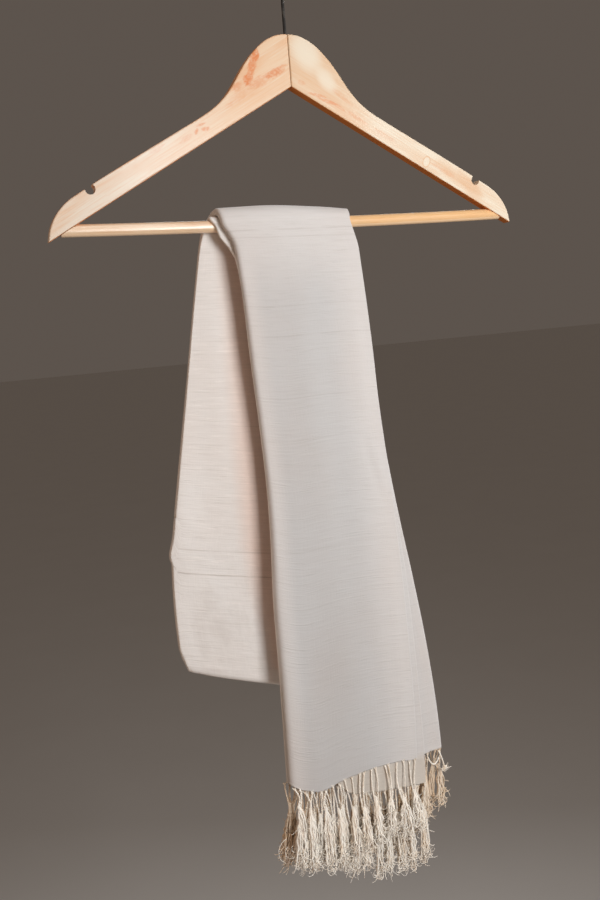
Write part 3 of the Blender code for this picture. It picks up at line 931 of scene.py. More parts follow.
class Socket:
    """An output of a shader node. Arithmetic on it adds Math nodes to its recipe."""

    def __init__(self, recipe: "Recipe", output: bpy.types.NodeSocket) -> None:
        """Wraps an output.

        Args:
            recipe: The material's recipe that the node belongs to.
            output: The node's output.
        """
        self.recipe = recipe
        self.output = output

    def maths(self, operation: str, *others: Value) -> "Socket":
        """Adds a Math node that works on this output.

        Args:
            operation: The node's operation.
            *others: Its further inputs, in order.

        Returns:
            The node's output.
        """
        return self.recipe.maths(operation, self, *others)

    def __add__(self, other: Value) -> "Socket":
        """Adds another value."""
        return self.maths("ADD", other)

    __radd__ = __add__

    def __sub__(self, other: Value) -> "Socket":
        """Takes another value away."""
        return self.maths("SUBTRACT", other)

    def __rsub__(self, other: Value) -> "Socket":
        """Takes this away from another value."""
        return self.recipe.maths("SUBTRACT", other, self)

    def __mul__(self, other: Value) -> "Socket":
        """Multiplies by another value."""
        return self.maths("MULTIPLY", other)

    __rmul__ = __mul__

    def __pow__(self, other: Value) -> "Socket":
        """Raises to a power."""
        return self.maths("POWER", other)

    def step(self, low: float, high: float) -> "Socket":
        """Makes a soft step of this output, downward if low is above high.

        Args:
            low: Where the step is 0.
            high: Where it is 1.

        Returns:
            The step.
        """
        return self.recipe.node(
            "ShaderNodeMapRange", {"interpolation_type": "SMOOTHSTEP"},
            {"Value": self, "From Min": low, "From Max": high, "To Min": 0.0, "To Max": 1.0})

    def between(self, rise: SoftEdge, fall: SoftEdge) -> "Socket":
        """Returns 1 between two soft edges, each from where it is 0 to where it is 1."""
        return self.step(*rise) * self.step(*fall)


class Recipe:
    """A material being made: its node tree, and the one way in which nodes join it."""

    def __init__(self, name: str, **constants: float | tuple) -> None:
        """Starts a material.

        Args:
            name: The material's name.
            **constants: Values of the shader's own inputs, spaces written as underscores.
        """
        self.material = bpy.data.materials.new(name)
        self.material.use_nodes = True
        self.tree = self.material.node_tree
        self.shader = self.tree.nodes["Principled BSDF"]
        for key, value in constants.items():
            self.feed(self.shader.inputs[key.replace("_", " ")], value)

    def feed(self, target: bpy.types.NodeSocket, value: Value) -> None:
        """Links an output to an input, or sets the input to a constant.

        Args:
            target: The input.
            value: The output or the constant.
        """
        if isinstance(value, Socket):
            self.tree.links.new(value.output, target)
        else:
            target.default_value = value

    def node(self, kind: str, settings: dict | None = None, inputs: dict | None = None,
             output: str | int = 0) -> Socket:
        """Adds a node.

        Args:
            kind: The node's type.
            settings: Its properties, which are set first.
            inputs: Values or links of its inputs, by name or index.
            output: Which output to return.

        Returns:
            The chosen output.
        """
        made = self.tree.nodes.new(kind)
        for name, value in (settings or {}).items():
            setattr(made, name, value)
        for key, value in (inputs or {}).items():
            self.feed(made.inputs[key], value)
        return Socket(self, made.outputs[output])

    def maths(self, operation: str, *values: Value) -> Socket:
        """Adds a Math node and returns its output."""
        return self.node("ShaderNodeMath", {"operation": operation}, dict(enumerate(values)))

    def noise(self, vector: Socket, scale: float, detail: float = 2.0,
              roughness: float = 0.5) -> Socket:
        """Adds a noise texture.

        Args:
            vector: Its coordinates.
            scale: How many times its pattern fits in a unit of them.
            detail: Its number of octaves.
            roughness: How strong the finer octaves are.

        Returns:
            Its grey value.
        """
        return self.node(
            "ShaderNodeTexNoise", {},
            {"Vector": vector, "Scale": scale, "Detail": detail, "Roughness": roughness})

    def streaks(self, x: Value, y: Value, z: Value = 0.0, detail: float = 2.0,
                roughness: float = 0.5) -> Socket:
        """Returns the grey value of a noise texture over numbers that are scaled already."""
        return self.noise(self.vector(x, y, z), 1.0, detail, roughness)

    def blend(self, factor: Value, first: Value, second: Value, kind: str = "MIX") -> Socket:
        """Mixes two colours.

        Args:
            factor: Share of the second colour.
            first: The first colour, as a link or three numbers.
            second: The second colour.
            kind: The blend type.

        Returns:
            The mixed colour.
        """
        pair = [c if isinstance(c, Socket) else (*c, 1.0) for c in (first, second)]
        return self.node(
            "ShaderNodeMix", {"data_type": "RGBA", "blend_type": kind},
            {0: factor, 6: pair[0], 7: pair[1]}, output=2)

    def axes(self, vector: Socket) -> tuple[Socket, Socket, Socket]:
        """Splits a vector.

        Args:
            vector: The vector.

        Returns:
            Its three numbers.
        """
        split = self.node("ShaderNodeSeparateXYZ", {}, {0: vector}).output.node
        x, y, z = (Socket(self, output) for output in split.outputs)
        return x, y, z

    def vector(self, x: Value, y: Value, z: Value = 0.0) -> Socket:
        """Joins three numbers to a vector."""
        return self.node("ShaderNodeCombineXYZ", {}, {0: x, 1: y, 2: z})

    def mapped(self, vector: Socket, turn: tuple = (0, 0, 0),
               scale: tuple = (1, 1, 1)) -> Socket:
        """Turns and scales coordinates.

        Args:
            vector: The coordinates.
            turn: Their turn about each axis, in radians.
            scale: Their scale along each axis.

        Returns:
            The new coordinates.
        """
        return self.node(
            "ShaderNodeMapping", {},
            {"Vector": vector, "Rotation": turn, "Scale": scale})

    def object_place(self) -> Socket:
        """Returns a piece's own coordinates, in metres."""
        return self.node("ShaderNodeTexCoord", {}, output="Object")

    def cloth_place(self) -> Socket:
        """Returns the place on the flat cloth, in metres, from the piece's own UV map."""
        return self.node("ShaderNodeUVMap", {"uv_map": CLOTH_UV})

    def finish(self, colour: Socket, roughness: Value, height: Socket, bump: float) -> \
            bpy.types.Material:
        """Connects the shader.

        Args:
            colour: The base colour.
            roughness: The roughness, as a link or a number.
            height: The relief, in metres.
            bump: How strongly the relief shows.

        Returns:
            The finished material.
        """
        self.feed(self.shader.inputs["Base Color"], colour)
        self.feed(self.shader.inputs["Roughness"], roughness)
        self.feed(self.shader.inputs["Normal"], self.node(
            "ShaderNodeBump", {}, {"Strength": bump, "Distance": 1.0, "Height": height}))
        return self.material


class Weave(NamedTuple):
    """The patterns of the cloth's yarns over the flat cloth.

    Attributes:
        lines: Noise of fine lines along the weft.
        weft: Noise of the weft yarns.
        thick: The thick weft yarns.
        dashes: Noise of short dark yarns.
        warp: Noise of the warp yarns.
        bar: The dark bars.
        rough: The stretch with rougher yarns.
        crushed: The crushed stretch behind.
        cloudy: Noise of its clouds.
    """

    lines: Socket
    weft: Socket
    thick: Socket
    dashes: Socket
    warp: Socket
    bar: Socket
    rough: Socket
    crushed: Socket
    cloudy: Socket


@dataclass(frozen=True)
class SilkFinish:
    """Undyed eri silk: a matte weave with slubs along the weft and a few dark thick bars.

    Places are in metres on the flat cloth. An edge goes from the place where its mask is 0 to
    the place where it is 1.

    Attributes:
        name: The material's name.
        base: Colour of the cloth.
        warm: Colour of its warmer patches.
        pale: Colour of its thinnest, palest weft yarns.
        slub: Colour of a thick, dark weft yarn.
        shaded: Painted shade: what the front fall and the crest are multiplied by.
        grey: Painted shade: what the middle of the front fold is multiplied by besides.
        inside: Painted shadow: what the panel behind is multiplied by in the strip that the front
            fold shadows, a warm tint.
        painted_tassel_shade: Painted shade: what the second fold's end is multiplied by behind
            the tassels, a tan tint.
        bars: Dark weft bars, as places along the cloth and their strengths.
        bar_half: Half the width of a bar.
        bar_shift: How far the wander of the weft moves a bar on the whole.
        wander: How far the weft wanders.
        rough: Edges along of the stretch with rougher yarns.
        crushed: Edges along of the crushed stretch behind.
        front_shade_edge: Edge along of the painted shade on the front fall and crest.
        painted_shadow: Edges along of the painted shadow that the front fold casts on the panel
            behind.
        painted_shadow_side: Its edge across.
        painted_shadow_slope: How far that edge moves across with the place along.
        tassel_shade_side: Edge across of the second fold.
        tassel_shade_foot: Edge along of its painted shade behind the tassels.
        middle: Edges across of the painted shade in the middle of the front fold.
        middle_top: Its edge along.
    """

    name: str = "eri_silk"
    base: RGB = (0.802, 0.766, 0.738)
    warm: RGB = (0.786, 0.724, 0.682)
    pale: RGB = (0.905, 0.855, 0.820)
    slub: RGB = (0.360, 0.290, 0.245)
    shaded: RGB = (0.785, 0.785, 0.792)
    grey: RGB = (0.850, 0.870, 0.885)
    inside: RGB = (0.990, 0.850, 0.790)
    painted_tassel_shade: RGB = (0.985, 0.945, 0.865)
    bars: tuple[tuple[float, float], ...] = (
        (0.236, 0.14), (0.340, 0.16), (0.379, 0.16), (0.4355, 0.26), (0.4625, 0.16),
        (0.5235, 0.22), (0.5300, 0.28), (1.1139, 0.8), (1.1370, 0.5))
    bar_half: float = 0.0010
    bar_shift: float = 0.0012
    wander: float = 0.0024
    rough: tuple[SoftEdge, SoftEdge] = ((0.94, 1.02), (1.50, 1.42))
    crushed: tuple[SoftEdge, SoftEdge] = ((0.92, 0.98), (1.19, 1.12))
    front_shade_edge: SoftEdge = (0.620, 0.530)
    painted_shadow: tuple[SoftEdge, SoftEdge] = ((1.02, 1.03), (1.44, 1.42))
    painted_shadow_side: SoftEdge = (-0.1225, -0.1455)
    painted_shadow_slope: float = 0.180
    tassel_shade_side: SoftEdge = (0.425, 0.430)
    tassel_shade_foot: SoftEdge = (0.036, 0.022)
    middle: tuple[SoftEdge, SoftEdge] = ((0.005, 0.060), (0.138, 0.118))
    middle_top: SoftEdge = (0.53, 0.46)

    def make(self) -> bpy.types.Material:
        """Makes the material.

        Returns:
            The material.
        """
        recipe = Recipe(self.name, Specular_IOR_Level=0.3, Sheen_Weight=0.2,
                        Sheen_Roughness=0.45)
        across, along, _ = recipe.axes(recipe.cloth_place())
        weave = self.weave(recipe, across, along)
        patches = recipe.streaks(across * 11, along * 7, detail=3.0)
        colour = self.shade(recipe, self.yarns(recipe, weave, patches), across, along)
        tall = weave.thick * 0.00014 + weave.weft * 0.00020 + weave.lines * 0.00016
        tall = tall + weave.warp * 0.00009 + weave.cloudy * weave.crushed * 0.0009
        return recipe.finish(colour, 0.80 - weave.thick * 0.08, tall + weave.bar * 0.00018, 1.0)

    def weave(self, recipe: Recipe, across: Socket, along: Socket) -> Weave:
        """Draws the patterns of the yarns.

        Args:
            recipe: The material's recipe.
            across: The place across the flat cloth.
            along: The place along it.

        Returns:
            The patterns.
        """
        drift = along + recipe.streaks(across * 7, along * 5) * self.wander
        weft = recipe.streaks(across * 48, drift * 520, 1.7, 3.0, 0.65)
        long_weft = recipe.streaks(across * 16, drift * 420, 3.7)
        breaks = recipe.streaks(across * 26, along * 330, 9.1, 3.0, 0.6)
        return Weave(
            lines=recipe.streaks(across * 24, drift * 640, 0.0, 3.0, 0.65),
            weft=weft,
            thick=weft.step(0.56, 0.72) * 0.5 + long_weft.step(0.57, 0.70) * 0.5,
            dashes=recipe.streaks(across * 44, drift * 320, 6.2),
            warp=recipe.streaks(across * 900, along * 40),
            bar=self.weft_bars(drift - self.bar_shift) * breaks.step(0.32, 0.54),
            rough=along.between(*self.rough),
            crushed=along.between(*self.crushed),
            cloudy=recipe.streaks(across * 30, along * 17, 4.4, 4.0, 0.6),
        )

    def weft_bars(self, along: Socket) -> Socket:
        """Draws the dark weft bars.

        Args:
            along: The place along the wandering weft.

        Returns:
            Their strength, and 0 between them.
        """
        total = along * 0.0
        for middle, strength in self.bars:
            away = (along - middle).maths("ABSOLUTE")
            total = total + away.step(self.bar_half, 0.0) * strength
        return total

    def yarns(self, recipe: Recipe, weave: Weave, patches: Socket) -> Socket:
        """Colours the yarns.

        Args:
            recipe: The material's recipe.
            weave: The patterns of the yarns.
            patches: Noise of the warmer patches.

        Returns:
            The colour.
        """
        colour = recipe.blend(patches.step(0.35, 0.7) * 0.7, self.base, self.warm)
        thin = weave.weft.step(0.44, 0.28) * (0.10 + weave.rough * 0.5)
        colour = recipe.blend(thin, colour, self.pale)
        fine = weave.lines.step(0.42, 0.66) * (0.06 + weave.rough * 0.03)
        for share in (
                fine + weave.thick * (0.045 + weave.rough * 0.08),
                weave.dashes.step(0.68, 0.80) * 0.09,
                weave.cloudy.step(0.44, 0.62) * weave.crushed * 0.11,
                weave.bar * 0.70):
            colour = recipe.blend(share, colour, self.slub)
        return colour

    def shade(self, recipe: Recipe, colour: Socket, across: Socket, along: Socket) -> Socket:
        """Paints shade on the front fall, its middle, the panel's strip beside it and the second
        fold's end.

        Args:
            recipe: The material's recipe.
            colour: The yarns' colour.
            across: The place across the flat cloth.
            along: The place along it.

        Returns:
            The colour.
        """
        # Painted shade: the front fall and crest are darkened, more in the front fold's middle;
        # the panel's strip that the front fold shadows gets a warm painted shadow, and the second
        # fold's end behind the tassels a tan painted shade.
        in_painted_shadow = (across - along * self.painted_shadow_slope).step(*self.painted_shadow_side)
        for share, tint in (
                (along.step(*self.front_shade_edge), self.shaded),
                (in_painted_shadow * along.between(*self.painted_shadow), self.inside),
                (across.step(*self.tassel_shade_side) * along.step(*self.tassel_shade_foot), self.painted_tassel_shade),
                (across.between(*self.middle) * along.step(*self.middle_top), self.grey)):
            colour = recipe.blend(share, colour, tint, "MULTIPLY")
        return colour


@dataclass(frozen=True)
class ThreadFinish:
    """Thick twisted silk of the tassels: cream, with tan in random rougher yarns and locks that
    stands partly for painted shade, and tan as painted shade on the tassels further back.
    """

    name: str = "silk_thread"
    cream: RGB = (0.985, 0.925, 0.835)
    tan: RGB = (0.760, 0.545, 0.335)

    def make(self) -> bpy.types.Material:
        """Makes the material.

        Returns:
            The material.
        """
        recipe = Recipe(self.name, Specular_IOR_Level=0.3, Sheen_Weight=0.5,
                        Sheen_Roughness=0.4)
        where = recipe.object_place()
        # Painted shade: tassels further back, by their depth, turn tan; the tan in random yarns
        # and locks also stands partly for painted shade between them.
        behind = recipe.axes(where)[1].step(-0.0195, -0.0080)
        yarns = recipe.noise(recipe.mapped(where, scale=(420, 420, 60)), 1.0)
        locks = recipe.noise(recipe.mapped(where, scale=(90, 90, 40)), 1.0)
        fibre = recipe.noise(recipe.mapped(where, scale=(1900, 1900, 600)), 1.0)
        shade = yarns.step(0.52, 0.74) * 0.35 + locks.step(0.50, 0.74) * 0.30 + behind * 0.60
        colour = recipe.blend(shade, self.cream, self.tan)
        return recipe.finish(colour, 0.82, fibre * 0.00030, 0.9)


@dataclass(frozen=True)
class Patch:
    """A coloured patch of the wood, as an ellipse on its face."""

    across: float
    height: float
    long: float
    wide: float
    lean: float
    strength: float


@dataclass(frozen=True)
class PineFinish:
    """Lacquered pale pine, with its grain along the arm and reddish patches.

    Attributes:
        name: The material's name.
        lean: How far the grain leans from level, in degrees.
        white: Colour of the palest wood.
        pale: Colour between the growth rings.
        ring: Colour of the rings.
        red: Colour of the resinous patches.
        painted_facing_colour: Colour painted on faces that look down: painted shade on the arms,
            painted light on the bar's lower side.
        gloss: Weight of the lacquer's coat.
        rim: How much of that painted colour the faces that look up take, as painted shade on the
            arms.
        white_from: Place across, in metres, where the wood starts to pale.
        white_to: Place across where it is palest.
        patches: The reddish patches.
        lights: Paler patches.
        knot: A pale knot, as a patch.
        coat_ior: Refractive index of the lacquer.
        coat_roughness: Roughness of the lacquer.
        turned: Whether the wood is the round bar, whose facets are shaded as a circle.
    """

    name: str
    lean: float
    white: RGB = (0.748, 0.640, 0.520)
    pale: RGB = (0.740, 0.530, 0.350)
    ring: RGB = (0.700, 0.385, 0.195)
    red: RGB = (0.660, 0.200, 0.045)
    painted_facing_colour: RGB = (0.560, 0.175, 0.030)
    gloss: float = 0.25
    rim: float = 0.75
    white_from: float = -0.030
    white_to: float = -0.150
    patches: tuple[Patch, ...] = ()
    lights: tuple[Patch, ...] = ()
    knot: Patch | None = None
    coat_ior: float = 1.5
    coat_roughness: float = 0.16
    turned: bool = False

    def make(self) -> bpy.types.Material:
        """Makes the material. The lacquer is worn off the arms' narrow edges.

        Returns:
            The material.
        """
        recipe = Recipe(self.name, Coat_Roughness=self.coat_roughness,
                        Coat_IOR=self.coat_ior, Specular_IOR_Level=0.4)
        where = recipe.object_place()
        axes = recipe.axes(recipe.mapped(where, turn=(0, radians(self.lean), 0)))
        fine = recipe.streaks(axes[0] * 26, axes[1] * 900, axes[2] * 900, 3.0, 0.6)
        part = recipe.axes(where)[0].step(self.white_from, self.white_to)
        colour = self.grain(recipe, recipe.blend(part, self.pale, self.white), axes, fine)
        colour = self.marks(recipe, colour, axes, where)
        upward = recipe.axes(recipe.node("ShaderNodeNewGeometry", output="True Normal"))[2]
        # Painted shade and light by facing: faces that look up take some of the painted colour,
        # most on the left arm; faces that look down take all of it, shade on the arms and light
        # on the bar.
        colour = recipe.blend(upward.step(0.15, 0.75) * self.rim, colour, self.painted_facing_colour)
        colour = recipe.blend(upward.step(-0.35, -0.75), colour, self.painted_facing_colour)
        roughness = 0.36 + fine * 0.12
        relief = fine * 0.00001
        if self.turned:
            coat = part
            relief = relief - self.from_axis(recipe, where)
        else:
            edge = upward.maths("ABSOLUTE").step(0.15, 0.60)
            coat = 1 - edge
            roughness = roughness + edge * 0.4
        recipe.feed(recipe.shader.inputs["Coat Weight"], coat * self.gloss)
        return recipe.finish(colour, roughness, relief, 1.0)

    def grain(self, recipe: Recipe, colour: Socket, axes: tuple[Socket, Socket, Socket],
              fine: Socket) -> Socket:
        """Adds the growth rings, the fine grain and reddish flecks.

        Args:
            recipe: The material's recipe.
            colour: The plain wood's colour.
            axes: The place along the grain, through the wood and across the grain.
            fine: Noise of the fine grain.

        Returns:
            The colour.
        """
        x, y, z = axes
        sway = recipe.streaks(x * 9, y * 20, z * 26)
        growth = (z * 230 + y * 60 + sway * 9.0).maths("SINE")
        tone = recipe.streaks(x * 16, y * 40, z * 48, 3.0)
        flecks = recipe.streaks(x * 55, y * 60, z * 420)
        for share, tint in (
                (growth.step(0.2, 1.0) * tone * 0.60, self.ring),
                (tone.step(0.50, 0.66) * 0.50, self.ring),
                (fine.step(0.45, 0.70) * 0.42, self.ring),
                (fine.step(0.44, 0.26) * 0.50, self.white),
                (flecks.step(0.66, 0.80) * 0.20, self.red)):
            colour = recipe.blend(share, colour, tint)
        return colour

    def marks(self, recipe: Recipe, colour: Socket, axes: tuple[Socket, Socket, Socket],
              where: Socket) -> Socket:
        """Adds the paler patches, the ragged reddish ones and the knot.

        Args:
            recipe: The material's recipe.
            colour: The grained wood's colour.
            axes: The place along the grain, through the wood and across the grain.
            where: The place on the piece.

        Returns:
            The colour.
        """
        x, y, z = axes
        ragged = recipe.streaks(x * 120, y * 60, z * 330, 4.0, 0.7)
        speckle = recipe.streaks(x * 420, y * 60, z * 620, 3.0, 0.6)
        for patch in self.lights:
            colour = recipe.blend(self.spot(recipe, where, patch) * patch.strength, colour,
                                  self.white)
        for patch in self.patches:
            spot = self.spot(recipe, where, patch)
            amount = (spot + (ragged - 0.5) * 2.4).step(0.10, 0.95) * patch.strength
            amount = amount * spot.step(0.0, 0.25) * (speckle.step(0.36, 0.56) * 0.6 + 0.4)
            colour = recipe.blend(amount, colour, self.red)
        if self.knot:
            eye = self.spot(recipe, where, self.knot)
            colour = recipe.blend(eye.step(0.02, 0.30) * 0.60, colour, self.ring)
            colour = recipe.blend(eye.step(0.38, 0.75) * 0.9, colour, self.white)
        return colour

    @staticmethod
    def from_axis(recipe: Recipe, where: Socket) -> Socket:
        """Measures how far a place is from the sagging bar's middle line.

        Args:
            recipe: The material's recipe.
            where: The place on the piece.

        Returns:
            The distance, in metres.
        """
        x, y, z = recipe.axes(where)
        middle = (x * (1 / BAR_HALF)) ** 2 * BAR_SAG + (BAR_LIFT - BAR_SAG)
        return (y ** 2 + (z - BAR_Z * MM - middle * MM) ** 2).maths("SQRT")

    @staticmethod
    def spot(recipe: Recipe, where: Socket, patch: Patch) -> Socket:
        """Draws a patch on the wood's face.

        Args:
            recipe: The material's recipe.
            where: The place on the piece.
            patch: The patch.

        Returns:
            1 in its middle, falling to 0 at its rim.
        """
        angle = radians(patch.lean)
        x, _, z = recipe.axes(where)
        from_x, from_z = x - patch.across * MM, z - (APEX_Z + patch.height) * MM
        along = from_x * cos(angle) + from_z * sin(angle)
        beside = from_z * cos(angle) - from_x * sin(angle)
        square = (along * (1 / (patch.long * MM))) ** 2 + (beside * (1 / (patch.wide * MM))) ** 2
        return 1 - square.step(0.0, 1.0)


@dataclass(frozen=True)
class WireFinish:
    """Dark steel wire of the hook, a little worn."""

    name: str = "dark_wire"
    steel: RGB = (0.085, 0.080, 0.076)
    worn: RGB = (0.190, 0.170, 0.150)

    def make(self) -> bpy.types.Material:
        """Makes the material.

        Returns:
            The material.
        """
        recipe = Recipe(self.name, Metallic=1.0)
        where = recipe.object_place()
        wear = recipe.noise(where, 160.0, 4.0, 0.6)
        fine = recipe.noise(where, 1400.0)
        colour = recipe.blend(wear.step(0.5, 0.75) * 0.6, self.steel, self.worn)
        return recipe.finish(colour, 0.30 + wear * 0.25, fine * 0.00003, 0.5)


@dataclass(frozen=True)
class FloorFinish:
    """Plain pale floor."""

    name: str = "pale_floor"
    light: RGB = (0.86, 0.84, 0.81)
    dark: RGB = (0.82, 0.80, 0.77)

    def make(self) -> bpy.types.Material:
        """Makes the material.

        Returns:
            The material.
        """
        recipe = Recipe(self.name)
        mottle = recipe.noise(recipe.object_place(), 3.0, 4.0)
        fine = recipe.noise(recipe.object_place(), 220.0)
        colour = recipe.blend(mottle, self.light, self.dark)
        return recipe.finish(colour, 0.9, fine * 0.0001, 0.3)


@dataclass
class Sheet:
    """One long sheet of the folded silk, as thin cloth.

    Attributes:
        name: The piece's name.
        columns: Its columns from edge to edge.
        hem: Drop of its fringed edge in front.
        flat_width: Width that it was cut to, in metres. Not used.
        stands_for: The solids that it replaces.
        rests_on: What it hangs over or lies on. Not used.
    """

    name: str
    columns: list[Column]
    hem: Sequence[Level]
    flat_width: float
    stands_for: tuple[str, ...]
    rests_on: tuple[str, ...]
    grid: list[list[Vector]] = field(default_factory=list)

    def build(self, run: Run, material: bpy.types.Material) -> bpy.types.Object:
        """Makes the sheet along its run.

        Args:
            run: The shawl's run.
            material: Its finish.

        Returns:
            The finished piece.
        """
        drape = Drape(self.hem)
        stations = run.stations()
        self.grid = [
            [drape.point(station, column) for column in self.columns] for station in stations]
        rows, count = len(stations), len(self.columns)
        shape = bmesh.new()
        bmesh.ops.create_grid(shape, x_segments=count - 1, y_segments=rows - 1, size=0.5)
        shape.verts.ensure_lookup_table()
        uv = shape.loops.layers.uv.new(CLOTH_UV)
        for i, station in enumerate(stations):
            for j, column in enumerate(self.columns):
                corner = shape.verts[i * count + j]
                corner.co = self.grid[i][j]
                flat = Vector((column.width, station.run - self.weft_tilt(station, corner.co)))
                for loop in corner.link_loops:
                    loop[uv].uv = flat
        for face in shape.faces:
            face.smooth = True
        piece = finished_mesh(self.name, shape, material)
        wall = piece.modifiers.new("wall", "SOLIDIFY")
        wall.thickness = WALL * MM
        wall.offset = 0.0
        return piece

    @staticmethod
    def weft_tilt(station: Station, corner: Vector) -> float:
        """Finds how far the weft leaves the rows of the grid.

        It rises to the right in the middle of the front fall. Behind, it runs straight and
        slopes nearly as the bottom fold does, also where that fold's left corner turns up.

        Args:
            station: The row.
            corner: A place on it, in metres.

        Returns:
            The distance along the flat cloth, in metres.
        """
        side = station.half.value
        if station.stage is Stage.FRONT:
            return FRONT_WEFT_RISE * sin(pi * station.part) * corner.x * side
        if station.stage is Stage.CREST:
            return 0.0
        part = station.part
        foot = level(BACK_FOLD, corner.x / MM) - Drape.turn_radius()
        drop = mix(TOP_DROP, foot, part)
        if station.stage is Stage.TURN:
            side, part, drop = 1 - 2 * station.part, 1.0, foot
        straight = STRAIGHT_FOOT + STRAIGHT_SLOPE * corner.x / MM - Drape.turn_radius()
        share = (drop - TOP_DROP) / (straight - TOP_DROP)
        return -side * Run.back_run * (share - part)

    def edge(self, half: Half) -> list[Vector]:
        """Returns the fringed edge of one half, from the sheet's first column to its last."""
        return self.grid[0] if half is Half.OUTER else self.grid[-1]


def finished_mesh(name: str, shape: bmesh.types.BMesh, material: bpy.types.Material) -> \
        bpy.types.Object:
    """Turns a bmesh into a piece with its material.

    Args:
        name: The piece's name.
        shape: The bmesh, which is freed.
        material: The finish.

    Returns:
        The piece, at the origin.
    """
    mesh = bpy.data.meshes.new(name)
    shape.to_mesh(mesh)
    shape.free()
    mesh.materials.append(material)
    return linked(name, mesh)


def linked(name: str, data: bpy.types.ID) -> bpy.types.Object:
    """Puts data in the scene as an object at the origin.

    Args:
        name: The object's name.
        data: Its mesh, curve, light or camera.

    Returns:
        The object.
    """
    made = bpy.data.objects.new(name, data)
    bpy.context.scene.collection.objects.link(made)
    return made


def columns_of(legs: Sequence[tuple[Leg, list[float], float]], width: float) -> list[Column]:
    """Lists a sheet's columns, leg after leg.

    Args:
        legs: Each leg's parts and its width on the flat cloth, in metres.
        width: Where the sheet starts on the flat cloth, in metres.

    Returns:
        The columns, each place once.
    """
    columns: list[Column] = []
    for leg, parts, reach in legs:
        for part in parts[1 if columns else 0:]:
            columns.append(Column(leg, part, width + part * reach))
        width += reach
    return columns


